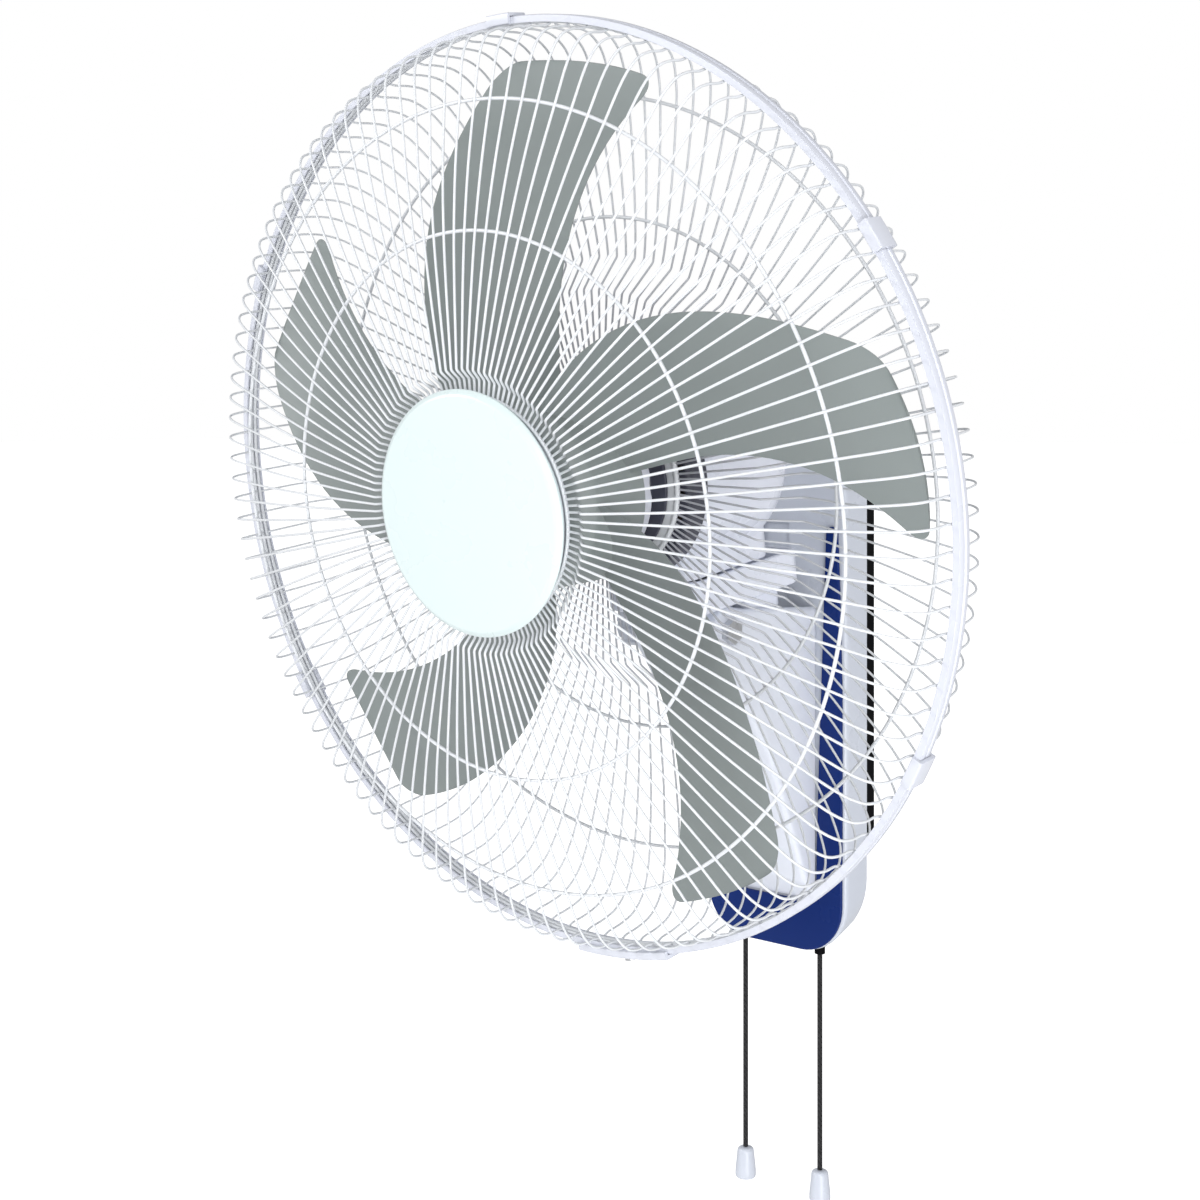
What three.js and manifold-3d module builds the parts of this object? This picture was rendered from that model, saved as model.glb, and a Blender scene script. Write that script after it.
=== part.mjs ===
// Wall mounted fan: a head with two wire guards and a five-blade impeller, carried by a neck that
// tilts and swings on a slim wall base with two pull cords.
// Millimetres, +Z up. The wall is the plane y = 0, the fan faces -Y, and the origin is the centre
// of the wall plate's back.

import * as THREE from 'three';
import { mergeVertices } from 'three/addons/utils/BufferGeometryUtils.js';
import Module from 'manifold-3d';

const wasm = await Module();
wasm.setup();

// ---------------------------------------------------------------- driving dimensions

// Gaps
const SEAT_GAP = 0.3; // between pieces that rest on each other
const RUN_GAP = 0.4; // round turning and sliding pieces

// Head: its guards' middle plane, seen from the wall plate's centre
const HEAD_REACH = 228;
const HEAD_RISE = 102;
const HEAD_TILT = 8; // degrees that the head looks down at rest

// Rim band that holds the two guards together
const RIM_RADIUS = 241.3;
const RIM_WIDTH = 11;
const RIM_WALL = 2;
const RIM_LIP = 1.9;
const CLIP_WIDTH = 15;
const CLIP_WALL = 1.8;
const CLIP_LIP = 4;
const CLIP_ANGLES = [150, 90, 30, -30, -150]; // degrees round the rim, from +X
const STRAP_ANGLE = -84; // the strap that closes the band
const STRAP_LENGTH = 62;
const STRAP_WALL = 2.2;

// Wire guards
const WIRE_COUNT = 28;
const WIRE_RADIUS = 1.05;
const RING_RADIUS = 1.3;
const OUTER_RING_DEPTH = 2.4;
const SHOULDER_INSET = 2; // the wires' shoulder, inside the band's lips
const MIDDLE_RING = 201;
const SMALL_RING = 138;
const FRONT_MIDDLE_DEPTH = 33.4;
const FRONT_SMALL_DEPTH = 47.6;
const FRONT_SHOULDER_DEPTH = 15;
const FRONT_DISH_RING = 71; // where the wires kink back under the badge
const FRONT_DISH_DEPTH = 57;
const FRONT_DISH_STEP = 5;
const FRONT_HUB_RING = 58;
const FRONT_HUB_DEPTH = 52.5;
const REAR_MIDDLE_DEPTH = 46.5;
const REAR_SMALL_DEPTH = 57;
const REAR_SHOULDER_DEPTH = 18;
const REAR_STEP_OUTER = 117; // the wires step forward here to the flat round the motor
const REAR_STEP_INNER = 101;
const REAR_STEP_DEPTH = 58.5;
const REAR_STEP_RISE = 2;
const REAR_HUB_RING = 44; // flat ring plate in the middle
const REAR_HUB_HALF = 6;

// Badge disc in the middle of the front guard, bare
const BADGE_RADIUS = 62;
const BADGE_FRONT_DEPTH = 63;
const BADGE_CROWN = 2.5;
const BADGE_TAPER = 1.5; // its edge narrows towards the wires
const BADGE_WALL = 2;
const BADGE_EDGE = 3;
const BACKING_WALL = 2;

// Impeller
const BLADE_COUNT = 5;
const TIP_CLEARANCE = 18.4; // from the blades' tips to the band's lips
const BLADE_THICKNESS = 2.2;
const BLADE_CORNER = 12;
const BLADE_CAMBER = 3;
const LEADING_ROOT_ANGLE = 11.9; // degrees, at the hub
const LEADING_SWEEP = 19.6;
const LEADING_STRAIGHT = 0.2; // share of the blade's length before the leading edge sweeps back
const TRAILING_TIP_ANGLE = 18.6;
const TRAILING_SWEEP = 52;
const LEADING_DEPTH = -8; // the leading edge lies behind the guards' middle plane
const TRAILING_DEPTH = 19;
const TRAILING_TIP_DEPTH = 4; // the outer half of the trailing edge falls back to this
const HUB_RADIUS = 50;
const HUB_FRONT_DEPTH = 30;
const HUB_LENGTH = 46;
const HUB_WALL = 2.5;
const HUB_BOSS_RADIUS = 11;
const NUT_RADIUS = 15; // nut on the shaft's front end
const NUT_LENGTH = 9;

// Motor
const SHAFT_RADIUS = 4;
const MOTOR_RADIUS = 57;
const MOTOR_FRONT = 43; // behind the guards' middle plane
const MOTOR_SPLIT = 58;
const MOTOR_REAR = 150;
const MOTOR_WALL = 2.4;
const MOTOR_REAR_ROUND = 32;
const FRONT_SLOTS = 8;
const REAR_SLOTS = 8;
const SLOT_WIDTH = 3;
const COLLAR_RADIUS = 28; // threaded collar that the guard nut turns on
const COLLAR_FRONT = 21;
const GUARD_NUT_RADIUS = 45;
const GUARD_NUT_GRIPS = 8;
const GUARD_NUT_WAIST = 36;
const GUARD_NUT_FLANGE = 4.5;
const BUSH_RADIUS = 9;
const BUSH_LENGTH = 12;
const BOLT_RADIUS = 34; // motor bolts, from the shaft
const POST_SPACING = 23; // housing posts, from the shaft
const BRACKET_WALL = 4;
const STATOR_RADIUS = 40;
const STATOR_START = 66;
const STATOR_LENGTH = 40;
const ROTOR_RADIUS = 24;
const AIR_GAP = 0.7;

// Neck and swing drive, in the head's own tilted directions
const PIVOT_REACH = 116; // tilt pivot, from the wall
const PIVOT_RISE = 23;
const BARREL_RADIUS = 12;
const BARREL_LENGTH = 33;
const TILT_BOLT_RADIUS = 4;
const TRAY_WALL = 3;
const SWING_PIN_RADIUS = 5;
const SWING_BUSH_WALL = 2;
const SLEEVE_WALL = 4;
const SWING_AXIS_DEPTH = 100; // behind the guards' middle plane
const SLEEVE_TOP = -44.2; // heights from the motor's axis
const SLEEVE_BOTTOM = -66;
const PIN_COLLAR_STEP = 2; // the pin's collar is this much smaller than the sleeve, clear of the link
const LUG_WALL = 4;
const LUG_RADIUS = 24; // swing axis to the link's pin on the head
const CRANK_RADIUS = 15.4;
const LINK_LENGTH = 40;
const LINK_WALL = 3;
const LINK_WIDTH = 9;
const SLOT_SLACK_ALONG = 4.2; // the link's slotted eye
const SLOT_SLACK_SIDE = 1.5;
const TRAY_LEFT = -28; // the tray's open box goes round the link and the crank
const TRAY_FRONT_REACH = 38; // from the swing axis
const TRAY_CLEARANCE = 0.8; // from the link's and the crank's sweep to the box's walls
const LINK_RIM = 2.5; // round the link's slotted eye
const TRAY_ROUND = 12;
const TRAY_HEAD_GAP = 2; // under the motor housing
const SKIRT_WALL = 2.4; // round the swing motor, under the tray
const DRIVE_PIN_RADIUS = 2;
const SWING_MOTOR_RADIUS = 14;
const SWING_MOTOR_LENGTH = 12;

// Base
const BASE_HALF_WIDTH = 50;
const BASE_BOTTOM = -172;
const BASE_TOP = 118;
const BASE_TOP_ROUND = 26;
const BASE_WALL = 2.4;
const BASE_EDGE = 2.5;
const SHELL_DEPTH = 21.7;
const PLATE_HALF_WIDTH = 49.4;
const PLATE_HALF_HEIGHT = 108;
const PLATE_DEPTH = 9;
const PLATE_WALL = 2.5;
const PLATE_ROUND = 8;
const KEYHOLE_RADIUS = 4;
const OPENING_HALF_WIDTH = 19;
const TRIM_DEPTH = 2.2;
const TRIM_INSET = 2;
const TRIM_LEG_WIDTH = 14;
const TRIM_CHIN_HEIGHT = 29;
const TRIM_TOP = 77;
const COVER_HALF_WIDTH = 30;
const COVER_WALL = 2.4;
const COVER_EDGE = 2;
const COVER_BOTTOM = -141;
const COVER_REAR_TOP = 30;
const COVER_TOE = [-43, -128]; // y and z where the cover's slope starts
const COVER_KNEE = [-78, -51];
const EAR_RADIUS = 14;
const EAR_START = 216; // degrees round the tilt bolt, from the wall's side
const EAR_END = 70;
const KNOB_RADIUS = 13;
const KNOB_LENGTH = 12;
const SCREW_RADIUS = 2;
const SCREW_HEAD = 3.6;

// Pull cords
const CORD_SPACING = 54;
const CORD_FLAT = 2; // the flat floor goes this far beyond each cord
const BASE_BOTTOM_ROUND = BASE_HALF_WIDTH - CORD_SPACING / 2 - CORD_FLAT;
const CORD_RADIUS = 1.5;
const CORD_REACH = 24; // from the wall
const CORD_END = -301; // top of the pull knobs
const CORD_TURNOUT = 2; // the guide stands this far out of the shell
const BELL_LENGTH = 18;
const BELL_RADIUS = 6.2;
const BELL_TOP_RADIUS = 3.4;
const SWITCH_WIDTH = 20;
const SWITCH_HEIGHT = 23;
const GUIDE_RADIUS = 3.1;
const INLET_DEPTH = -20; // the mains cable's bush in the left side wall
const INLET_HEIGHT = -132;

// ---------------------------------------------------------------- shapes and booleans

// Sides of the round forms, by size
const LARGE_SIDES = 20;
const MEDIUM_SIDES = 12;
const SMALL_SIDES = 6;

const DEGREE = Math.PI / 180;
const FRONT = -1; // the head's front is -Y, its rear +Y

// A closed geometry as a solid, its faces turned out
function solid(geometry) {
  const bare = geometry.index ? geometry : geometry.clone();
  bare.deleteAttribute('normal');
  bare.deleteAttribute('uv');
  const merged = mergeVertices(bare, 1e-4);
  const vertProperties = new Float32Array(merged.attributes.position.array);
  const triVerts = new Uint32Array(merged.index.array);
  if (signedVolume(vertProperties, triVerts) < 0) triVerts.reverse();
  return new wasm.Manifold(new wasm.Mesh({ numProp: 3, vertProperties, triVerts }));
}

function signedVolume(points, triangles) {
  const [a, b, c] = [new THREE.Vector3(), new THREE.Vector3(), new THREE.Vector3()];
  let sum = 0;
  for (let i = 0; i < triangles.length; i += 3) {
    a.fromArray(points, 3 * triangles[i]);
    b.fromArray(points, 3 * triangles[i + 1]);
    c.fromArray(points, 3 * triangles[i + 2]);
    sum += a.dot(b.cross(c));
  }
  return sum / 6;
}

function joined(solids) {
  return solids.reduce((sum, next) => sum.add(next));
}

function cut(body, tools) {
  return tools.reduce((rest, tool) => rest.subtract(tool), body);
}

function toGeometry(body) {
  const mesh = body.getMesh();
  const geometry = new THREE.BufferGeometry();
  geometry.setAttribute('position', new THREE.BufferAttribute(new Float32Array(mesh.vertProperties), 3));
  geometry.setIndex(new THREE.BufferAttribute(new Uint32Array(mesh.triVerts), 1));
  geometry.computeVertexNormals();
  return geometry;
}

function box(x0, x1, y0, y1, z0, z1) {
  const geometry = new THREE.BoxGeometry(x1 - x0, y1 - y0, z1 - z0);
  return solid(geometry.translate((x0 + x1) / 2, (y0 + y1) / 2, (z0 + z1) / 2));
}

// Round bars along each axis, from one end to the other
function barY(radius, y0, y1, x = 0, z = 0, sides = MEDIUM_SIDES, endRadius = radius) {
  const geometry = new THREE.CylinderGeometry(endRadius, radius, y1 - y0, sides);
  return solid(geometry.translate(x, (y0 + y1) / 2, z));
}

function barZ(radius, z0, z1, x = 0, y = 0, sides = MEDIUM_SIDES, endRadius = radius) {
  const geometry = new THREE.CylinderGeometry(endRadius, radius, z1 - z0, sides);
  return solid(geometry.rotateX(Math.PI / 2).translate(x, y, (z0 + z1) / 2));
}

function barX(radius, x0, x1, y = 0, z = 0, sides = MEDIUM_SIDES) {
  const geometry = new THREE.CylinderGeometry(radius, radius, x1 - x0, sides);
  return solid(geometry.rotateZ(Math.PI / 2).translate((x0 + x1) / 2, y, z));
}

// A profile of [radius, y] pairs turned round the head's axis
function turnedY(profile, sides = LARGE_SIDES) {
  const points = profile.map(([radius, y]) => new THREE.Vector2(radius, y));
  return solid(new THREE.LatheGeometry(points, sides));
}

// A closed profile: the first point is repeated at the end
function ringY(profile, sides = LARGE_SIDES) {
  return turnedY([...profile, profile[0]], sides);
}

// A profile of [radius, z] pairs turned round an upright axis
function turnedZ(profile, x, y, sides = 12) {
  const points = profile.map(([radius, z]) => new THREE.Vector2(radius, z));
  return solid(new THREE.LatheGeometry(points, sides).rotateX(Math.PI / 2).translate(x, y, 0));
}

// A shape drawn in x and z, extruded towards -Y from yBack
function frontPlate(shape, yBack, depth, edge = 0, curveSegments = 6) {
  const geometry = new THREE.ExtrudeGeometry(shape, {
    depth: depth - edge,
    bevelEnabled: edge > 0,
    bevelSize: edge,
    bevelThickness: edge,
    bevelOffset: -edge,
    bevelSegments: 2,
    curveSegments,
  });
  geometry.rotateX(Math.PI / 2).translate(0, yBack, 0);
  if (edge === 0) return solid(geometry);
  // The bevel belongs to the front only
  const far = 4000;
  return cut(solid(geometry), [box(-far, far, yBack, yBack + far, -far, far)]);
}

// A shape drawn in y and z, extruded along X between two places
function sideSlab(shape, x0, x1, edge = 0, curveSegments = 6) {
  const geometry = new THREE.ExtrudeGeometry(shape, {
    depth: x1 - x0 - 2 * edge,
    bevelEnabled: edge > 0,
    bevelSize: edge,
    bevelThickness: edge,
    bevelOffset: -edge,
    bevelSegments: 2,
    curveSegments,
  });
  geometry.translate(0, 0, x0 + edge);
  const toSide = new THREE.Matrix4().makeBasis(
    new THREE.Vector3(0, 1, 0),
    new THREE.Vector3(0, 0, 1),
    new THREE.Vector3(1, 0, 0),
  );
  return solid(geometry.applyMatrix4(toSide));
}

// A rectangle with its own radius at the bottom and at the top corners
function roundedShape(halfWidth, bottom, top, bottomRound, topRound = bottomRound) {
  const shape = new THREE.Shape();
  const [right, left] = [halfWidth, -halfWidth];
  shape.moveTo(left + bottomRound, bottom);
  shape.lineTo(right - bottomRound, bottom);
  shape.absarc(right - bottomRound, bottom + bottomRound, bottomRound, -Math.PI / 2, 0);
  shape.lineTo(right, top - topRound);
  shape.absarc(right - topRound, top - topRound, topRound, 0, Math.PI / 2);
  shape.lineTo(left + topRound, top);
  shape.absarc(left + topRound, top - topRound, topRound, Math.PI / 2, Math.PI);
  shape.lineTo(left, bottom + bottomRound);
  shape.absarc(left + bottomRound, bottom + bottomRound, bottomRound, Math.PI, 1.5 * Math.PI);
  return shape;
}

function turned(body, axis, degrees) {
  const turn = [0, 0, 0];
  turn[axis] = degrees;
  return body.rotate(turn);
}

// A screw along Y with its head towards +Y, and the hole that it stands in
function screw(x, z, yTip, ySeat) {
  const shank = barY(SCREW_RADIUS, yTip, ySeat + 0.5, x, z, SMALL_SIDES);
  return shank.add(barY(SCREW_HEAD, ySeat, ySeat + SCREW_RADIUS, x, z, SMALL_SIDES));
}

function screwBore(x, z, y0, y1) {
  return barY(SCREW_RADIUS + SEAT_GAP, y0, y1, x, z, SMALL_SIDES);
}

// ---------------------------------------------------------------- the model tree

const group = new THREE.Group();
const head = new THREE.Group();
head.position.set(0, FRONT * HEAD_REACH, HEAD_RISE);
head.rotation.x = HEAD_TILT * DEGREE;
group.add(head);

function add(parent, name, body, color, roughness = 0.4, metalness = 0) {
  const material = new THREE.MeshStandardMaterial({ color, roughness, metalness });
  const mesh = new THREE.Mesh(toGeometry(body), material);
  mesh.name = name;
  parent.add(mesh);
}

const WHITE = 0xe4e6ee;
const WIRE_WHITE = 0xeef0f6;
const GREY = 0x9aa3a1;
const BLUE = 0x1a2f7a;
const BLACK = 0x16171a;
const STEEL = 0xb4b7bb;
const COPPER = 0xa86a3c;
const BRONZE = 0x9c7a4a;

// The tilt pivot in the head's own directions, from the head's centre
const pivotBack = HEAD_REACH - PIVOT_REACH;
const pivotUp = PIVOT_RISE - HEAD_RISE;
const tiltCos = Math.cos(HEAD_TILT * DEGREE);
const tiltSin = Math.sin(HEAD_TILT * DEGREE);
const pivotY = pivotBack * tiltCos + pivotUp * tiltSin;
const pivotZ = pivotUp * tiltCos - pivotBack * tiltSin;

// The rear guard lies on the motor's front face, held by the guard nut
const rearFlatDepth = MOTOR_FRONT - SEAT_GAP - WIRE_RADIUS;

// The outer rings lie back to back in the band's groove
const outerRing = RIM_RADIUS - RIM_WALL - SEAT_GAP - WIRE_RADIUS;
const lipInner = RIM_RADIUS - RIM_WALL - RIM_LIP;
const shoulder = lipInner - SHOULDER_INSET;
const wireEnd = [lipInner - WIRE_RADIUS - 2 * SEAT_GAP, (RIM_WIDTH - RIM_WALL) / 2 - SEAT_GAP];

// ---------------------------------------------------------------- wire guards and rim

// A guard is a lattice of straight-sided wires and rings that share their corners where they cross.
// Each stop along a wire is [radius, depth], and a third value is the half width of a ring there.
function wireGuard(stops, side) {
  const stations = [];
  const ringStarts = new Set();
  stops.forEach(([radius, depth, ringHalf], i) => {
    const [before, after] = [stops[Math.max(0, i - 1)], stops[Math.min(stops.length - 1, i + 1)]];
    const isLast = i === stops.length - 1;
    const [run, rise] = [i ? after[0] - before[0] : 0, isLast ? 0 : after[1] - before[1]];
    const along = new THREE.Vector2(run, rise).normalize();
    const here = new THREE.Vector2(radius, depth);
    const across = new THREE.Vector2(-along.y, along.x).multiplyScalar(WIRE_RADIUS);
    if (ringHalf) ringStarts.add(stations.length);
    const places = ringHalf ? [-ringHalf, ringHalf] : [0];
    places.forEach((shift) => {
      stations.push({ place: here.clone().addScaledVector(along, shift), across });
    });
  });
  const count = stations.length;
  const positions = [];
  for (let i = 0; i < WIRE_COUNT; i += 1) {
    const angle = Math.PI / 2 + (i * 2 * Math.PI) / WIRE_COUNT;
    stations.forEach(({ place, across }) => {
      [[-1, 1], [1, 1], [1, -1], [-1, -1]].forEach(([hand, face]) => {
        const radius = place.x + face * across.x;
        const depth = place.y + face * across.y;
        const corner = new THREE.Vector3(radius, side * depth, hand * WIRE_RADIUS);
        positions.push(...corner.applyAxisAngle(new THREE.Vector3(0, 1, 0), -angle).toArray());
      });
    });
  }
  const corner = (wire, station, k) => ((wire % WIRE_COUNT) * count + station) * 4 + k;
  const index = [];
  const quad = (p, q, r, t) => index.push(p, q, r, p, r, t);
  for (let i = 0; i < WIRE_COUNT; i += 1) {
    quad(corner(i, 0, 3), corner(i, 0, 2), corner(i, 0, 1), corner(i, 0, 0));
    quad(...[0, 1, 2, 3].map((k) => corner(i, count - 1, k)));
    for (let j = 0; j + 1 < count; j += 1) {
      const isRing = ringStarts.has(j);
      // The wire's own faces, its two sides left out where a ring runs into them
      (isRing ? [0, 2] : [0, 1, 2, 3]).forEach((k) => {
        const next = (k + 1) % 4;
        quad(corner(i, j, k), corner(i, j, next), corner(i, j + 1, next), corner(i, j + 1, k));
      });
      if (!isRing) continue;
      // The ring from this wire's right side to the next wire's left side
      quad(corner(i, j, 1), corner(i + 1, j, 0), corner(i + 1, j + 1, 0), corner(i, j + 1, 1));
      quad(corner(i, j + 1, 2), corner(i + 1, j + 1, 3), corner(i + 1, j, 3), corner(i, j, 2));
      quad(corner(i, j, 2), corner(i + 1, j, 3), corner(i + 1, j, 0), corner(i, j, 1));
      quad(corner(i, j + 1, 1), corner(i + 1, j + 1, 0), corner(i + 1, j + 1, 3), corner(i, j + 1, 2));
    }
  }
  const geometry = new THREE.BufferGeometry();
  geometry.setAttribute('position', new THREE.Float32BufferAttribute(positions, 3));
  geometry.setIndex(index);
  return solid(geometry);
}

const frontStops = [
  [outerRing, OUTER_RING_DEPTH, RING_RADIUS],
  wireEnd,
  [shoulder, FRONT_SHOULDER_DEPTH],
  [shoulder - 8, FRONT_SHOULDER_DEPTH + 12],
  [MIDDLE_RING, FRONT_MIDDLE_DEPTH, RING_RADIUS],
  [SMALL_RING, FRONT_SMALL_DEPTH, RING_RADIUS],
  [FRONT_DISH_RING, FRONT_DISH_DEPTH],
  [FRONT_DISH_RING - FRONT_DISH_STEP, FRONT_HUB_DEPTH],
  [FRONT_HUB_RING, FRONT_HUB_DEPTH, RING_RADIUS],
];
const rearStops = [
  [outerRing, OUTER_RING_DEPTH, RING_RADIUS],
  wireEnd,
  [shoulder, REAR_SHOULDER_DEPTH],
  [shoulder - 10, REAR_SHOULDER_DEPTH + 20],
  [MIDDLE_RING, REAR_MIDDLE_DEPTH, RING_RADIUS],
  [SMALL_RING, REAR_SMALL_DEPTH, RING_RADIUS],
  [REAR_STEP_OUTER, REAR_STEP_DEPTH],
  [REAR_STEP_INNER, rearFlatDepth + REAR_STEP_RISE],
  [REAR_HUB_RING, rearFlatDepth, REAR_HUB_HALF],
];

function rimBand() {
  const half = RIM_WIDTH / 2;
  return ringY([
    [RIM_RADIUS, -half],
    [RIM_RADIUS, half],
    [lipInner, half],
    [lipInner, half - RIM_WALL / 2],
    [RIM_RADIUS - RIM_WALL, half - RIM_WALL / 2],
    [RIM_RADIUS - RIM_WALL, -half + RIM_WALL / 2],
    [lipInner, -half + RIM_WALL / 2],
    [lipInner, -half],
  ], WIRE_COUNT);
}

// A clip that grips the band from outside, drawn at the rim's top and turned to its place
function rimClip(length, wall, lip, degrees) {
  const half = RIM_WIDTH / 2 + SEAT_GAP;
  const inner = RIM_RADIUS + SEAT_GAP;
  const shape = new THREE.Shape();
  const corners = [
    [-half - wall, inner + wall],
    [half + wall, inner + wall],
    [half + wall, inner - lip],
    [half, inner - lip],
    [half, inner],
    [-half, inner],
    [-half, inner - lip],
    [-half - wall, inner - lip],
  ];
  corners.forEach(([y, z], i) => (i ? shape.lineTo(y, z) : shape.moveTo(y, z)));
  const count = Math.max(1, Math.round(length / 16));
  const slabs = [];
  for (let i = 0; i < count; i += 1) {
    const slab = sideSlab(shape, -length / count / 2 - 0.2, length / count / 2 + 0.2);
    const along = ((i + 0.5) / count - 0.5) * (length / RIM_RADIUS) / DEGREE;
    slabs.push(turned(slab, 1, along + 90 - degrees));
  }
  // The band is a many-sided ring, so the clip is cleared where a straight slab would touch it
  const clearance = ringY([
    [RIM_RADIUS + SEAT_GAP, -half],
    [RIM_RADIUS + SEAT_GAP, half],
    [RIM_RADIUS - 9, half],
    [RIM_RADIUS - 9, -half],
  ], WIRE_COUNT);
  return joined(slabs).subtract(clearance);
}

add(head, 'rear_guard', wireGuard(rearStops, 1), WIRE_WHITE, 0.35);
add(head, 'front_guard', wireGuard(frontStops, FRONT), WIRE_WHITE, 0.35);
add(head, 'rim_band', rimBand(), WHITE, 0.35);
CLIP_ANGLES.forEach((angle, i) => {
  add(head, `rim_clip_${i + 1}`, rimClip(CLIP_WIDTH, CLIP_WALL, CLIP_LIP, angle), WHITE, 0.35);
});

// The strap closes the band and takes one screw from outside
function rimStrap() {
  const strap = rimClip(STRAP_LENGTH, STRAP_WALL, CLIP_LIP / 2, STRAP_ANGLE);
  const hole = barX(SCREW_RADIUS + SEAT_GAP, RIM_RADIUS - 1, RIM_RADIUS + 9, 0, 0, SMALL_SIDES);
  return strap.subtract(turned(hole, 1, -STRAP_ANGLE));
}

function rimScrew() {
  const seat = RIM_RADIUS + SEAT_GAP + STRAP_WALL + SEAT_GAP;
  const shank = barX(SCREW_RADIUS, RIM_RADIUS + SEAT_GAP, seat + 1, 0, 0, SMALL_SIDES);
  const screwHead = barX(SCREW_HEAD, seat, seat + SCREW_RADIUS, 0, 0, SMALL_SIDES);
  return turned(shank.add(screwHead), 1, -STRAP_ANGLE);
}

add(head, 'rim_strap', rimStrap(), WHITE, 0.35);
add(head, 'rim_screw', rimScrew(), STEEL, 0.35, 1);

const backingFront = FRONT * (FRONT_HUB_DEPTH - WIRE_RADIUS - SEAT_GAP);
const backingRear = backingFront + BACKING_WALL;

function badge() {
  const front = FRONT * BADGE_FRONT_DEPTH;
  const back = FRONT * (FRONT_HUB_DEPTH + WIRE_RADIUS + SEAT_GAP);
  const shell = turnedY([
    [0, front - BADGE_CROWN],
    [BADGE_RADIUS * 0.5, front - BADGE_CROWN * 0.75],
    [BADGE_RADIUS - BADGE_EDGE, front],
    [BADGE_RADIUS - BADGE_EDGE * 0.3, front + BADGE_EDGE * 0.3],
    [BADGE_RADIUS, front + BADGE_EDGE],
    [BADGE_RADIUS - BADGE_TAPER, back],
    [BADGE_RADIUS - BADGE_TAPER - BADGE_WALL, back],
    [BADGE_RADIUS - BADGE_WALL, front + BADGE_EDGE],
    [BADGE_RADIUS - BADGE_EDGE - BADGE_WALL / 2, front + BADGE_WALL],
    [0, front + BADGE_WALL - BADGE_CROWN],
  ], WIRE_COUNT);
  const boss = barY(SCREW_HEAD + 1, front - BADGE_CROWN / 4, backingFront - SEAT_GAP, 0, 0, SMALL_SIDES);
  return shell.add(boss).subtract(screwBore(0, 0, front + BADGE_WALL, backingFront));
}

// The plate behind the wires that the disc is screwed to
function badgeBacking() {
  const plate = barY(BADGE_RADIUS - BADGE_TAPER - BADGE_WALL, backingFront, backingRear, 0, 0, WIRE_COUNT);
  return plate.subtract(screwBore(0, 0, backingFront - 1, backingRear + 1));
}

add(head, 'badge', badge(), WHITE, 0.25);
add(head, 'badge_backing', badgeBacking(), WHITE, 0.4);
const badgeScrewTip = FRONT * BADGE_FRONT_DEPTH + 2 * BADGE_EDGE;
add(head, 'badge_screw', screw(0, 0, badgeScrewTip, backingRear + SEAT_GAP), STEEL, 0.35, 1);

// ---------------------------------------------------------------- impeller

const bladeTip = lipInner - TIP_CLEARANCE;
const bladeLength = bladeTip - HUB_RADIUS;

// The blade's two edges at a radius, as angles round the shaft in degrees
function bladeEdges(radius) {
  const share = Math.min(1, Math.max(0, (radius - HUB_RADIUS) / bladeLength));
  const swept = Math.max(0, (share - LEADING_STRAIGHT) / (1 - LEADING_STRAIGHT));
  const lead = LEADING_ROOT_ANGLE - LEADING_SWEEP * swept ** 1.6;
  const trail = TRAILING_TIP_ANGLE + TRAILING_SWEEP * (1 - share) ** 1.12;
  return [lead, trail];
}

// How far the trailing edge stands towards the front: level over the inner half, then falling
function trailingDepth(radius) {
  const outer = Math.max(0, 2 * ((radius - HUB_RADIUS) / bladeLength) - 1);
  return TRAILING_DEPTH - (TRAILING_DEPTH - TRAILING_TIP_DEPTH) * outer ** 2;
}

// One blade as a loft of thin cambered sections from inside the hub to the rounded tip
function blade() {
  const root = HUB_RADIUS - 3;
  const bodyEnd = bladeTip - BLADE_CORNER;
  const radii = [0, 0.17, 0.4, 0.62, 0.85, 1].map((share) => root + (bodyEnd - root) * share);
  for (let i = 1; i <= 3; i += 1) {
    radii.push(bodyEnd + BLADE_CORNER * Math.sin((i * Math.PI) / 6) * 0.995);
  }
  const chordSteps = 4;
  const loops = radii.map((radius) => {
    let [lead, trail] = bladeEdges(radius);
    if (radius > bodyEnd) {
      const past = (radius - bodyEnd) / BLADE_CORNER;
      const inset = BLADE_CORNER * (1 - Math.sqrt(Math.max(0, 1 - past ** 2)));
      lead += inset / radius / DEGREE;
      trail -= inset / radius / DEGREE;
    }
    const faces = [[], []];
    for (let i = 0; i <= chordSteps; i += 1) {
      const along = i / chordSteps;
      const angle = (lead + (trail - lead) * along) * DEGREE;
      const straight = LEADING_DEPTH + (trailingDepth(radius) - LEADING_DEPTH) * along;
      const depth = straight - BLADE_CAMBER * 4 * along * (1 - along);
      const thick = BLADE_THICKNESS * (0.35 + 0.65 * Math.sin(Math.PI * along));
      [1, -1].forEach((face, k) => {
        const y = FRONT * depth + (face * thick) / 2;
        faces[k].push(new THREE.Vector3(radius * Math.cos(angle), y, radius * Math.sin(angle)));
      });
    }
    return [...faces[0], ...faces[1].reverse()];
  });
  return loft(loops);
}

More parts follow.
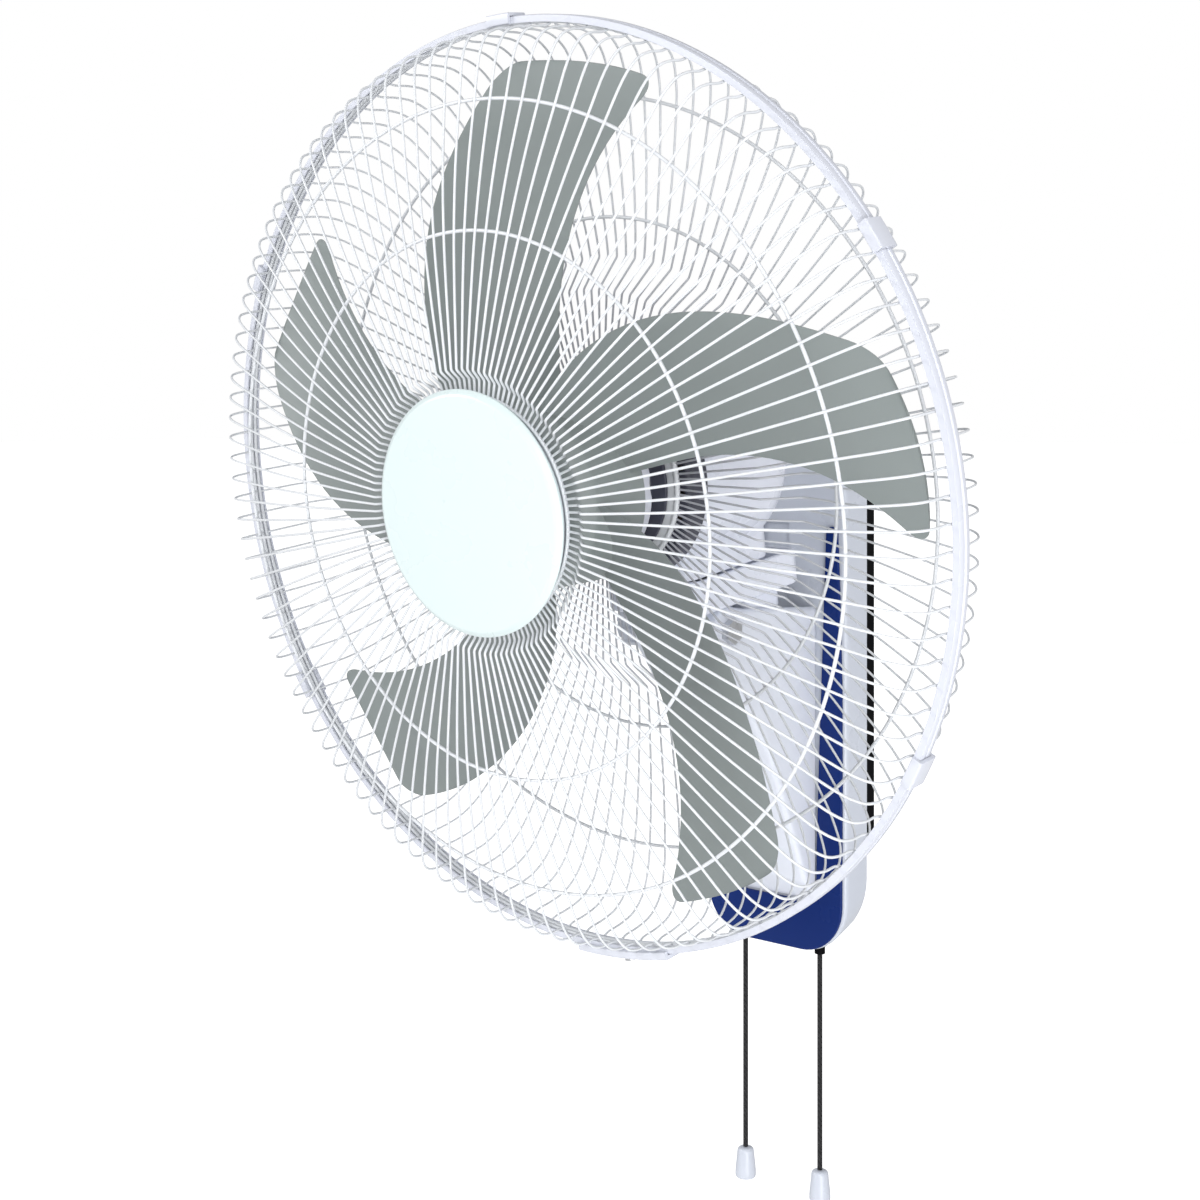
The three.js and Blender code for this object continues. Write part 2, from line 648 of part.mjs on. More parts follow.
// Closed loops of equal length joined in order and closed at both ends
function loft(loops) {
  const count = loops[0].length;
  const positions = loops.flat().flatMap((point) => point.toArray());
  const index = [];
  for (let j = 0; j + 1 < loops.length; j += 1) {
    for (let i = 0; i < count; i += 1) {
      const next = (i + 1) % count;
      const [a, b] = [j * count + i, j * count + next];
      index.push(a, b, b + count, a, b + count, a + count);
    }
  }
  // The end sections are closed between their two faces, pair by pair
  const last = (loops.length - 1) * count;
  for (let i = 0; i + 1 < count / 2; i += 1) {
    const corners = [i, i + 1, count - 2 - i, count - 1 - i];
    const [p, q, r, t] = corners;
    index.push(p, r, q, p, t, r);
    index.push(last + p, last + q, last + r, last + p, last + r, last + t);
  }
  const geometry = new THREE.BufferGeometry();
  geometry.setAttribute('position', new THREE.Float32BufferAttribute(positions, 3));
  geometry.setIndex(index);
  return solid(geometry);
}

function impeller() {
  const front = FRONT * HUB_FRONT_DEPTH;
  const rear = front + HUB_LENGTH;
  const shell = turnedY([
    [0, front],
    [HUB_RADIUS * 0.6, front],
    [HUB_RADIUS - 4, front + 5],
    [HUB_RADIUS, rear],
    [HUB_RADIUS - HUB_WALL, rear],
    [HUB_RADIUS - 4 - HUB_WALL, front + 5 + HUB_WALL],
    [HUB_RADIUS * 0.6, front + HUB_WALL],
    [HUB_BOSS_RADIUS, front + HUB_WALL],
    [HUB_BOSS_RADIUS, rear - 6],
    [0, rear - 6],
  ], LARGE_SIDES);
  const inner = turnedY([
    [0, front + HUB_WALL],
    [HUB_RADIUS - HUB_WALL - 1, front + 5 + HUB_WALL],
    [HUB_RADIUS - HUB_WALL - 0.5, rear + 1],
    [0, rear + 1],
  ], LARGE_SIDES);
  const oneBlade = blade().subtract(inner);
  const blades = [];
  for (let i = 0; i < BLADE_COUNT; i += 1) blades.push(turned(oneBlade, 1, (i * 360) / BLADE_COUNT));
  const bore = barY(SHAFT_RADIUS + SEAT_GAP, front - 1, rear, 0, 0, MEDIUM_SIDES);
  return joined([shell, ...blades]).subtract(bore);
}

const hubFront = FRONT * HUB_FRONT_DEPTH;
const plateFront = STATOR_START + STATOR_LENGTH + SEAT_GAP;
const plateRear = plateFront + BRACKET_WALL;
const rearBushStart = plateRear + BRACKET_WALL / 2;

function bladeNut() {
  const back = hubFront - SEAT_GAP;
  const nut = turnedY([
    [0, back - NUT_LENGTH],
    [NUT_RADIUS * 0.6, back - NUT_LENGTH],
    [NUT_RADIUS, back - NUT_LENGTH * 0.6],
    [NUT_RADIUS, back],
    [0, back],
  ], 18);
  return nut.subtract(barY(SHAFT_RADIUS + SEAT_GAP, back - NUT_LENGTH * 0.7, back + 1, 0, 0, MEDIUM_SIDES));
}

function motorShaft() {
  const tip = hubFront - SEAT_GAP - NUT_LENGTH * 0.65;
  return barY(SHAFT_RADIUS, tip, rearBushStart + BUSH_LENGTH - 1, 0, 0, MEDIUM_SIDES);
}

function rotorCore() {
  const [front, rear] = [STATOR_START + 1, STATOR_START + STATOR_LENGTH - 1];
  const bore = barY(SHAFT_RADIUS + SEAT_GAP, front - 1, rear + 1, 0, 0, MEDIUM_SIDES);
  return barY(ROTOR_RADIUS, front, rear, 0, 0, LARGE_SIDES).subtract(bore);
}

add(head, 'impeller', impeller(), GREY, 0.28);
add(head, 'blade_nut', bladeNut(), GREY, 0.3);
add(head, 'motor_shaft', motorShaft(), STEEL, 0.25, 1);
add(head, 'rotor_core', rotorCore(), STEEL, 0.5, 1);

// ---------------------------------------------------------------- motor

function slots(count, radius0, radius1, y0, y1) {
  const slot = box(radius0, radius1, y0, y1, -SLOT_WIDTH / 2, SLOT_WIDTH / 2);
  const tools = [];
  for (let i = 0; i < count; i += 1) tools.push(turned(slot, 1, ((i + 0.5) * 360) / count));
  return tools;
}

const boltPlaces = [45, 135, 225, 315].map((angle) => [
  BOLT_RADIUS * Math.cos(angle * DEGREE),
  BOLT_RADIUS * Math.sin(angle * DEGREE),
]);

function motorFrontCover() {
  const inside = MOTOR_FRONT + MOTOR_WALL;
  const shell = turnedY([
    [0, COLLAR_FRONT],
    [COLLAR_RADIUS, COLLAR_FRONT],
    [COLLAR_RADIUS, MOTOR_FRONT],
    [MOTOR_RADIUS - 4, MOTOR_FRONT],
    [MOTOR_RADIUS, MOTOR_FRONT + 4],
    [MOTOR_RADIUS, MOTOR_SPLIT],
    [MOTOR_RADIUS - MOTOR_WALL, MOTOR_SPLIT],
    [MOTOR_RADIUS - MOTOR_WALL, inside + 3],
    [MOTOR_RADIUS - MOTOR_WALL - 3, inside],
    [COLLAR_RADIUS - MOTOR_WALL, inside],
    [COLLAR_RADIUS - MOTOR_WALL, COLLAR_FRONT + MOTOR_WALL],
    [BUSH_RADIUS + MOTOR_WALL, COLLAR_FRONT + MOTOR_WALL],
    [BUSH_RADIUS + MOTOR_WALL, inside],
    [0, inside],
  ]);
  const bosses = boltPlaces.map(([x, z]) => (
    barY(SCREW_HEAD + 1.2, inside - 1, STATOR_START - SEAT_GAP, x, z, SMALL_SIDES)));
  const bossStart = inside + 2;
  return cut(joined([shell, ...bosses]), [
    barY(BUSH_RADIUS + SEAT_GAP, COLLAR_FRONT - 1, inside + 1),
    ...boltPlaces.map(([x, z]) => screwBore(x, z, bossStart, STATOR_START)),
    ...slots(FRONT_SLOTS, MOTOR_RADIUS - 15, MOTOR_RADIUS - 7, MOTOR_FRONT - 1, inside + 1),
  ]);
}

// The nut that clamps the rear guard to the motor: a flange with grips, a waist and a clamping flange
function guardNut() {
  const [front, back] = [COLLAR_FRONT - 1, rearFlatDepth - WIRE_RADIUS - SEAT_GAP];
  const inner = COLLAR_RADIUS + RUN_GAP;
  const ring = ringY([
    [inner, front + 2],
    [GUARD_NUT_RADIUS - 3, front + 2],
    [GUARD_NUT_RADIUS - 3, front],
    [GUARD_NUT_RADIUS, front],
    [GUARD_NUT_RADIUS, front + GUARD_NUT_FLANGE],
    [GUARD_NUT_WAIST, front + GUARD_NUT_FLANGE + 1],
    [GUARD_NUT_WAIST, back - GUARD_NUT_FLANGE],
    [GUARD_NUT_RADIUS, back - GUARD_NUT_FLANGE / 2],
    [GUARD_NUT_RADIUS, back],
    [inner, back],
  ]);
  const scoops = [];
  for (let i = 0; i < GUARD_NUT_GRIPS; i += 1) {
    const scoop = barY(3.5, front - 1, front + GUARD_NUT_FLANGE + 1, GUARD_NUT_RADIUS + 1.5, 0, SMALL_SIDES);
    scoops.push(turned(scoop, 1, (i * 360) / GUARD_NUT_GRIPS));
  }
  return cut(ring, scoops);
}

// Outer line of the housing: a straight barrel with a rounded rear
function housingProfile(inset) {
  const radius = MOTOR_RADIUS - inset;
  const round = MOTOR_REAR_ROUND - inset;
  const centre = [MOTOR_RADIUS - MOTOR_REAR_ROUND, MOTOR_REAR - MOTOR_REAR_ROUND];
  const points = [[0, MOTOR_SPLIT + SEAT_GAP - inset], [radius, MOTOR_SPLIT + SEAT_GAP - inset]];
  for (let i = 0; i <= 4; i += 1) {
    const angle = (i * Math.PI) / 8;
    points.push([centre[0] + round * Math.cos(angle), centre[1] + round * Math.sin(angle)]);
  }
  return [...points, [0, MOTOR_REAR - inset]];
}

function motorHousing() {
  const seat = MOTOR_REAR + SEAT_GAP;
  const screwPads = [-1, 1].map((side) => (
    barY(SCREW_HEAD + 1.2, MOTOR_REAR - MOTOR_WALL - 1, MOTOR_REAR, side * POST_SPACING, 0, SMALL_SIDES)));
  const shell = turnedY(housingProfile(0)).subtract(turnedY(housingProfile(MOTOR_WALL)));
  const sleeveHole = SWING_PIN_RADIUS + SWING_BUSH_WALL + SLEEVE_WALL + 2;
  return cut(joined([shell, ...screwPads]), [
    ...slots(REAR_SLOTS, MOTOR_RADIUS - 19, MOTOR_RADIUS - 4, MOTOR_REAR - 20, MOTOR_REAR),
    barZ(sleeveHole, -MOTOR_RADIUS - 5, SLEEVE_TOP, 0, SWING_AXIS_DEPTH),
    ...[-1, 1].map((side) => screwBore(side * POST_SPACING, 0, MOTOR_REAR - 9, seat)),
  ]);
}

function stator() {
  const [front, rear] = [STATOR_START, STATOR_START + STATOR_LENGTH];
  return cut(barY(STATOR_RADIUS, front, rear, 0, 0, LARGE_SIDES), [
    barY(ROTOR_RADIUS + AIR_GAP, front - 1, rear + 1, 0, 0, LARGE_SIDES),
    ...boltPlaces.map(([x, z]) => screwBore(x, z, front - 1, rear + 1)),
  ]);
}

function shaftBush(start) {
  const bore = barY(SHAFT_RADIUS + RUN_GAP, start - 1, start + BUSH_LENGTH + 1, 0, 0, MEDIUM_SIDES);
  return barY(BUSH_RADIUS, start, start + BUSH_LENGTH).subtract(bore);
}

add(head, 'motor_front_cover', motorFrontCover(), GREY, 0.45);
add(head, 'guard_nut', guardNut(), WHITE, 0.35);
add(head, 'motor_housing', motorHousing(), WHITE, 0.35);
add(head, 'stator', stator(), COPPER, 0.5, 1);
add(head, 'front_bush', shaftBush(COLLAR_FRONT + 3), BRONZE, 0.4, 1);
add(head, 'rear_bush', shaftBush(rearBushStart), BRONZE, 0.4, 1);
boltPlaces.forEach(([x, z], i) => {
  const bolt = screw(x, z, MOTOR_FRONT + MOTOR_WALL + 4, plateRear + SEAT_GAP);
  add(head, `motor_bolt_${i + 1}`, bolt, STEEL, 0.35, 1);
});
[-1, 1].forEach((side, i) => {
  const place = screw(side * POST_SPACING, 0, MOTOR_REAR - 14, MOTOR_REAR + SEAT_GAP);
  add(head, `housing_screw_${i + 1}`, place, STEEL, 0.35, 1);
});

// ---------------------------------------------------------------- swing bearing and drive

const bushOuter = SWING_PIN_RADIUS + RUN_GAP + SWING_BUSH_WALL;
const sleeveInner = bushOuter + SEAT_GAP;
const sleeveOuter = sleeveInner + SLEEVE_WALL;
const sleeveLid = SLEEVE_TOP + TRAY_WALL;
const pinTop = SLEEVE_TOP - 2;
const lugTop = SLEEVE_BOTTOM + LUG_WALL;
const linkTop = SLEEVE_BOTTOM - 1.5;
const linkBottom = linkTop - LINK_WALL;
const crankTop = linkBottom - 1;
const crankBottom = crankTop - LINK_WALL;
const trayTop = crankBottom - 0.5;
const trayBottom = trayTop - TRAY_WALL;
const crankPin = [LUG_RADIUS, SWING_AXIS_DEPTH + LINK_LENGTH];
const crankCentre = [LUG_RADIUS - CRANK_RADIUS, crankPin[1]];
const driveRadius = DRIVE_PIN_RADIUS + SEAT_GAP;

// A flat bar with round ends from one place to another, between two heights
function flatBar([x0, y0], [x1, y1], width, z0, z1) {
  const along = new THREE.Vector2(x1 - x0, y1 - y0);
  const angle = along.angle();
  const shape = new THREE.Shape();
  shape.absarc(0, 0, width / 2, Math.PI / 2, 1.5 * Math.PI);
  shape.absarc(along.length(), 0, width / 2, -Math.PI / 2, Math.PI / 2);
  shape.closePath();
  const options = { depth: z1 - z0, bevelEnabled: false, curveSegments: 4 };
  const geometry = new THREE.ExtrudeGeometry(shape, options);
  return solid(geometry.rotateZ(angle).translate(x0, y0, z0));
}

// Bracket at the motor's rear: a sleeve that turns on the swing pin, a plate that holds the stator,
// posts for the housing, and a lug that the link pushes
function motorBracket() {
  const plate = barY(STATOR_RADIUS + 4, plateFront, plateRear, 0, 0, LARGE_SIDES);
  const bushBoss = barY(BUSH_RADIUS + 4, plateFront, rearBushStart + BUSH_LENGTH, 0, 0, MEDIUM_SIDES);
  const postEnd = MOTOR_REAR - MOTOR_WALL - 1 - SEAT_GAP;
  const posts = [-1, 1].map((side) => (
    barY(SCREW_HEAD + 1.2, plateFront, postEnd, side * POST_SPACING, 0, SMALL_SIDES)));
  const sleeve = barZ(sleeveOuter, SLEEVE_BOTTOM, sleeveLid, 0, SWING_AXIS_DEPTH);
  const webBottom = -MOTOR_RADIUS + MOTOR_WALL + 4;
  const web = box(-8, 8, SWING_AXIS_DEPTH + 4, plateRear, webBottom, -STATOR_RADIUS + 6);
  const [axis, lugEnd] = [[0, SWING_AXIS_DEPTH], [LUG_RADIUS, SWING_AXIS_DEPTH]];
  const lug = flatBar(axis, lugEnd, LINK_WIDTH, SLEEVE_BOTTOM, lugTop);
  const lugPin = barZ(DRIVE_PIN_RADIUS, linkBottom + 0.4, SLEEVE_BOTTOM + 1, ...lugEnd, SMALL_SIDES);
  const body = joined([plate, bushBoss, ...posts, sleeve, web]);
  return cut(body, [
    barY(STATOR_RADIUS + 1, STATOR_START, STATOR_START + STATOR_LENGTH + SEAT_GAP, 0, 0, LARGE_SIDES),
    barY(BUSH_RADIUS + SEAT_GAP, rearBushStart, plateRear + MOTOR_REAR, 0, 0),
    barY(SHAFT_RADIUS + 1, plateFront - 1, plateRear + 9, 0, 0, MEDIUM_SIDES),
    ...boltPlaces.map(([x, z]) => screwBore(x, z, plateFront - 1, plateRear + 1)),
    ...[-1, 1].map((side) => screwBore(side * POST_SPACING, 0, MOTOR_REAR - 16, MOTOR_REAR)),
  ]).add(lug).add(lugPin).subtract(barZ(sleeveInner, SLEEVE_BOTTOM - 1, SLEEVE_TOP, 0, SWING_AXIS_DEPTH));
}

function swingBush() {
  const bottom = SLEEVE_BOTTOM + 1;
  return barZ(bushOuter, bottom, pinTop, 0, SWING_AXIS_DEPTH)
    .subtract(barZ(SWING_PIN_RADIUS + RUN_GAP, bottom - 1, pinTop + 1, 0, SWING_AXIS_DEPTH));
}

// The pin stands on the tray, and its collar carries the sleeve and the bush
function swingPin() {
  const collarRadius = sleeveOuter - PIN_COLLAR_STEP;
  const collar = barZ(collarRadius, trayTop + SEAT_GAP, SLEEVE_BOTTOM - RUN_GAP, 0, SWING_AXIS_DEPTH);
  return collar.add(barZ(SWING_PIN_RADIUS, trayBottom - 1, pinTop, 0, SWING_AXIS_DEPTH));
}

// An upright slab with rounded corners, from a plan in x and y
function planSlab([x0, x1], [y0, y1], round, z0, z1) {
  const shape = roundedShape((x1 - x0) / 2, y0, y1, round);
  const options = { depth: z1 - z0, bevelEnabled: false, curveSegments: 4 };
  return solid(new THREE.ExtrudeGeometry(shape, options).translate((x0 + x1) / 2, 0, z0));
}

// Neck: a barrel that tilts on the bolt carries an open box. Its floor is the tray for the swing pin
// and the crank, its walls hide the link, and a skirt below goes round the swing motor.
function neckBracket() {
  const half = BARREL_LENGTH / 2;
  const barrel = barX(BARREL_RADIUS, -half, half, pivotY, pivotZ, LARGE_SIDES);
  const block = box(-half + 4, half - 4, pivotY - 9, pivotY + 12, pivotZ, trayBottom + 1);
  const linkReach = LUG_RADIUS + SLOT_SLACK_ALONG + driveRadius + SLOT_SLACK_SIDE + LINK_RIM;
  const crankReach = crankCentre[1] + CRANK_RADIUS + LINK_WIDTH / 2;
  const sides = [TRAY_LEFT, linkReach + TRAY_CLEARANCE + TRAY_WALL];
  const ends = [SWING_AXIS_DEPTH - TRAY_FRONT_REACH, crankReach + TRAY_CLEARANCE + TRAY_WALL];
  const top = -MOTOR_RADIUS - TRAY_HEAD_GAP;
  const outer = planSlab(sides, ends, TRAY_ROUND, trayBottom, top);
  const [innerSides, innerEnds] = [sides, ends].map(([a, b]) => [a + TRAY_WALL, b - TRAY_WALL]);
  const inner = planSlab(innerSides, innerEnds, TRAY_ROUND - TRAY_WALL, trayTop, top + 1);
  const motorRoom = SWING_MOTOR_RADIUS + 1;
  const skirtHalf = COVER_HALF_WIDTH - COVER_WALL - 1;
  const skirt = [crankCentre[1] - motorRoom, crankCentre[1] + motorRoom];
  const skirtBottom = trayBottom - SEAT_GAP - SWING_MOTOR_LENGTH - 1;
  const skirtOuter = planSlab(
    [-skirtHalf, skirtHalf], [skirt[0] - SKIRT_WALL, skirt[1] + SKIRT_WALL], 8, skirtBottom, trayBottom + 1);
  const skirtRoom = skirtHalf - SKIRT_WALL;
  const skirtInner = planSlab([-skirtRoom, skirtRoom], skirt, 8 - SKIRT_WALL, skirtBottom - 1, trayBottom);
  return cut(joined([barrel, block, outer.subtract(inner), skirtOuter.subtract(skirtInner)]), [
    barX(TILT_BOLT_RADIUS + RUN_GAP, -half - 1, half + 1, pivotY, pivotZ),
    barZ(SWING_PIN_RADIUS + SEAT_GAP, trayBottom - 2, trayTop + 1, 0, SWING_AXIS_DEPTH),
    barZ(driveRadius + 2.5, trayBottom - 1, trayTop + 1, ...crankCentre, 12),
  ]);
}

function swingMotor() {
  const top = trayBottom - SEAT_GAP;
  return barZ(SWING_MOTOR_RADIUS, top - SWING_MOTOR_LENGTH, top, ...crankCentre)
    .subtract(barZ(driveRadius + 1.5, top - SWING_MOTOR_LENGTH + 2, top + 1, ...crankCentre, 12));
}

function crank() {
  const arm = flatBar(crankCentre, crankPin, LINK_WIDTH, crankBottom, crankTop);
  const spindleEnd = trayBottom - SWING_MOTOR_LENGTH + 3;
  const spindle = barZ(DRIVE_PIN_RADIUS + 1, spindleEnd, crankBottom + 1, ...crankCentre, 12);
  const pin = barZ(DRIVE_PIN_RADIUS, crankTop - 1, linkTop + 0.5, ...crankPin, SMALL_SIDES);
  return joined([arm, spindle, pin]);
}

// The link's eye over the lug's pin is a slot, wide enough for the whole swing
function swingLink() {
  const eye = [LUG_RADIUS, SWING_AXIS_DEPTH];
  const slotEnd = [LUG_RADIUS + SLOT_SLACK_ALONG, SWING_AXIS_DEPTH];
  const bar = flatBar(crankPin, eye, LINK_WIDTH, linkBottom, linkTop);
  const wide = driveRadius + SLOT_SLACK_SIDE;
  const pad = flatBar([eye[0] - 1, eye[1]], slotEnd, 2 * (wide + LINK_RIM), linkBottom, linkTop);
  const slot = flatBar([eye[0] - 0.5, eye[1]], slotEnd, 2 * wide, linkBottom - 1, linkTop + 1);
  const pinHole = barZ(driveRadius + 0.1, linkBottom - 1, linkTop + 1, ...crankPin, SMALL_SIDES);
  return cut(bar.add(pad), [slot, pinHole]);
}

add(head, 'motor_bracket', motorBracket(), STEEL, 0.5, 1);
add(head, 'swing_bush', swingBush(), BRONZE, 0.4, 1);
add(head, 'swing_pin', swingPin(), STEEL, 0.3, 1);
add(head, 'neck_bracket', neckBracket(), WHITE, 0.4);
add(head, 'swing_motor', swingMotor(), BLACK, 0.5);
add(head, 'crank', crank(), STEEL, 0.4, 1);
add(head, 'swing_link', swingLink(), STEEL, 0.4, 1);

// ---------------------------------------------------------------- base

const shellFront = FRONT * (PLATE_DEPTH + SEAT_GAP + SHELL_DEPTH);
const shellRear = shellFront + SHELL_DEPTH;
const panelRear = shellFront + BASE_WALL;
const trimBack = shellFront - SEAT_GAP;

// Plate that is screwed to the wall: a flat back with a rim, and keyholes for four screws
function wallPlate() {
  const outline = roundedShape(PLATE_HALF_WIDTH, -PLATE_HALF_HEIGHT, PLATE_HALF_HEIGHT, PLATE_ROUND);
  const [innerHalf, innerEnd] = [PLATE_HALF_WIDTH - PLATE_WALL, PLATE_HALF_HEIGHT - PLATE_WALL];
  const inner = roundedShape(innerHalf, -innerEnd, innerEnd, PLATE_ROUND - PLATE_WALL);
  const tools = [frontPlate(inner, -PLATE_WALL, PLATE_DEPTH)];
  [-1, 1].forEach((side) => [-1, 1].forEach((end) => {
    const [x, z] = [side * PLATE_HALF_WIDTH * 0.62, end * PLATE_HALF_HEIGHT * 0.8];
    tools.push(barY(KEYHOLE_RADIUS, -PLATE_WALL - 1, 1, x, z, 8));
    const slotHalf = KEYHOLE_RADIUS / 2;
    tools.push(box(x - slotHalf, x + slotHalf, -PLATE_WALL - 1, 1, z, z + KEYHOLE_RADIUS * 2.2));
  }));
  return cut(frontPlate(outline, 0, PLATE_DEPTH), tools);
}

const bossPlaces = [-1, 1].flatMap((side) => (
  [COVER_BOTTOM + 22, COVER_REAR_TOP - 12].map((z) => [side * (COVER_HALF_WIDTH - 6), z])));
const postPlaces = [-1, 1].flatMap((side) => (
  [-1, 1].map((end) => [side * (BASE_HALF_WIDTH - 12), end * PLATE_HALF_HEIGHT * 0.5])));
const guideBottom = BASE_BOTTOM - CORD_TURNOUT;
const cordSides = [1, -1];

// Housing of the base, open at the back, with posts that stand on the wall plate
function backShell() {
  const outline = roundedShape(BASE_HALF_WIDTH, BASE_BOTTOM, BASE_TOP, BASE_BOTTOM_ROUND, BASE_TOP_ROUND);
  const inner = roundedShape(
    BASE_HALF_WIDTH - BASE_WALL, BASE_BOTTOM + BASE_WALL, BASE_TOP - BASE_WALL,
    BASE_BOTTOM_ROUND - BASE_WALL, BASE_TOP_ROUND - BASE_WALL);
  const shell = frontPlate(outline, shellRear, SHELL_DEPTH, BASE_EDGE, 4)
    .subtract(frontPlate(inner, shellRear + 1, SHELL_DEPTH - BASE_WALL + 1, 0, 4));
  const posts = postPlaces.map(([x, z]) => (
    barY(4.5, panelRear - 1, -PLATE_WALL - SEAT_GAP, x, z, SMALL_SIDES)));
  const openingEnds = [COVER_BOTTOM + 32, COVER_REAR_TOP - 2];
  const opening = box(-OPENING_HALF_WIDTH, OPENING_HALF_WIDTH, shellFront - 1, panelRear + 1, ...openingEnds);
  const holeRadius = GUIDE_RADIUS + SEAT_GAP;
  const floorTop = BASE_BOTTOM + BASE_WALL;
  const side = -BASE_HALF_WIDTH;
  return cut(joined([shell, ...posts]), [
    opening,
    ...bossPlaces.map(([x, z]) => screwBore(x, z, shellFront - 1, panelRear + 1)),
    ...cordSides.map((hand) => (
      barZ(holeRadius, BASE_BOTTOM - 1, floorTop + 1, (hand * CORD_SPACING) / 2, -CORD_REACH, 16))),
    barX(holeRadius, side - 1, side + BASE_WALL + 1, INLET_DEPTH, INLET_HEIGHT, 12),
  ]);
}

// U-shaped trim on the front: two legs with round ends and a deep chin
function trimU() {
  const outer = BASE_HALF_WIDTH - TRIM_INSET;
  const inner = outer - TRIM_LEG_WIDTH;
  const bottom = BASE_BOTTOM + TRIM_INSET - 1;
  const chin = bottom + TRIM_CHIN_HEIGHT;
  const [round, end] = [BASE_BOTTOM_ROUND - TRIM_INSET, TRIM_LEG_WIDTH / 2];
  const shape = new THREE.Shape();
  shape.moveTo(-outer + round, bottom);
  shape.absarc(outer - round, bottom + round, round, -Math.PI / 2, 0);
  shape.absarc(outer - end, TRIM_TOP - end, end, 0, Math.PI);
  shape.absarc(inner - end, chin + end, end, 0, -Math.PI / 2, true);
  shape.absarc(-inner + end, chin + end, end, -Math.PI / 2, -Math.PI, true);
  shape.absarc(-outer + end, TRIM_TOP - end, end, 0, Math.PI);
  shape.absarc(-outer + round, bottom + round, round, Math.PI, 1.5 * Math.PI);
  return frontPlate(shape, trimBack, TRIM_DEPTH, 0.8, 4);
}

// Side outline of the sloping cover, up to the ears round the tilt bolt
function coverShape(inset, extra) {
  const ear = EAR_RADIUS - inset;
  const back = trimBack + extra;
  const shape = new THREE.Shape();
  shape.moveTo(back, COVER_BOTTOM + inset * 1.3);
  shape.lineTo(COVER_TOE[0] + inset, COVER_TOE[1] + inset * 0.6);
  shape.lineTo(COVER_KNEE[0] + inset, COVER_KNEE[1] + inset * 0.6);
  shape.absarc(-PIVOT_REACH, PIVOT_RISE, ear, EAR_START * DEGREE, EAR_END * DEGREE, true);
  shape.lineTo(back, COVER_REAR_TOP - inset + extra);
  shape.closePath();
  return shape;
}

function frontCover() {
  const outer = sideSlab(coverShape(0, 0), -COVER_HALF_WIDTH, COVER_HALF_WIDTH, COVER_EDGE);
  const innerHalf = COVER_HALF_WIDTH - COVER_WALL;
  const inner = sideSlab(coverShape(COVER_WALL, 10), -innerHalf, innerHalf);
  const above = PIVOT_RISE + 3 * EAR_RADIUS;
  const topOpening = box(-innerHalf, innerHalf, -PIVOT_REACH + EAR_RADIUS + 1, 0, 0, above);
  const half = BARREL_LENGTH / 2 + SEAT_GAP;
  const ears = [-1, 1].map((side) => {
    const [near, far] = [side * half, side * (innerHalf + 1)];
    return barX(EAR_RADIUS - 1, Math.min(near, far), Math.max(near, far), -PIVOT_REACH, PIVOT_RISE);
  });
  const bosses = bossPlaces.map(([x, z]) => barY(5, trimBack - 12, trimBack, x, z, SMALL_SIDES));
  const hull = cut(outer, [inner, topOpening]);
  return cut(joined([hull, ...ears, ...bosses]), [
    box(-half, half, -PIVOT_REACH - 2 * EAR_RADIUS, -PIVOT_REACH + EAR_RADIUS + 2, PIVOT_RISE - 9, above),
    barX(BARREL_RADIUS + 0.6, -half, half, -PIVOT_REACH, PIVOT_RISE),
    barX(TILT_BOLT_RADIUS + SEAT_GAP, -COVER_HALF_WIDTH - 1, COVER_HALF_WIDTH + 1, -PIVOT_REACH, PIVOT_RISE),
    ...bossPlaces.map(([x, z]) => screwBore(x, z, trimBack - 11, trimBack + 1)),
  ]);
}

add(group, 'wall_plate', wallPlate(), BLACK, 0.5);
add(group, 'back_shell', backShell(), WHITE, 0.35);
add(group, 'trim_u', trimU(), BLUE, 0.25);
add(group, 'front_cover', frontCover(), WHITE, 0.35);
bossPlaces.forEach(([x, z], i) => {
  add(group, `cover_screw_${i + 1}`, screw(x, z, trimBack - 9, panelRear + SEAT_GAP), STEEL, 0.35, 1);
});

// Tilt bolt with its head on the right, clamped by a knob on the left
function tiltBolt() {
  const right = COVER_HALF_WIDTH + SEAT_GAP;
  const shank = barX(TILT_BOLT_RADIUS, -right - KNOB_LENGTH + 3, right + 1, -PIVOT_REACH, PIVOT_RISE);
  return shank.add(barX(TILT_BOLT_RADIUS * 1.8, right, right + 4, -PIVOT_REACH, PIVOT_RISE, 6));
}

function tiltKnob() {
  const inner = -COVER_HALF_WIDTH - SEAT_GAP;
  const body = barX(KNOB_RADIUS, inner - KNOB_LENGTH, inner, 0, 0, LARGE_SIDES);
  const tools = [barX(TILT_BOLT_RADIUS + RUN_GAP, inner - KNOB_LENGTH + 2, inner + 1, 0, 0, MEDIUM_SIDES)];
  for (let i = 0; i < 8; i += 1) {
    const scoop = barX(3, inner - KNOB_LENGTH - 1, inner - 3, 0, KNOB_RADIUS + 1.5, 6);
    tools.push(turned(scoop, 0, (i * 360) / 8));
  }
  return cut(body, tools).translate([0, -PIVOT_REACH, PIVOT_RISE]);
}

add(group, 'tilt_bolt', tiltBolt(), STEEL, 0.35, 1);
add(group, 'tilt_knob', tiltKnob(), WHITE, 0.35);

// ---------------------------------------------------------------- electrics in the base

const switchBottom = BASE_BOTTOM + 22;
const rodTop = switchBottom + SWITCH_HEIGHT - 4;

function pullSwitch(x) {
  const half = SWITCH_WIDTH / 2;
  const back = panelRear + SEAT_GAP;
  return box(x - half, x + half, back, back + 14, switchBottom, switchBottom + SWITCH_HEIGHT)
    .subtract(barZ(CORD_RADIUS + 0.6, switchBottom - 1, rodTop + 1, x, -CORD_REACH, SMALL_SIDES));
}

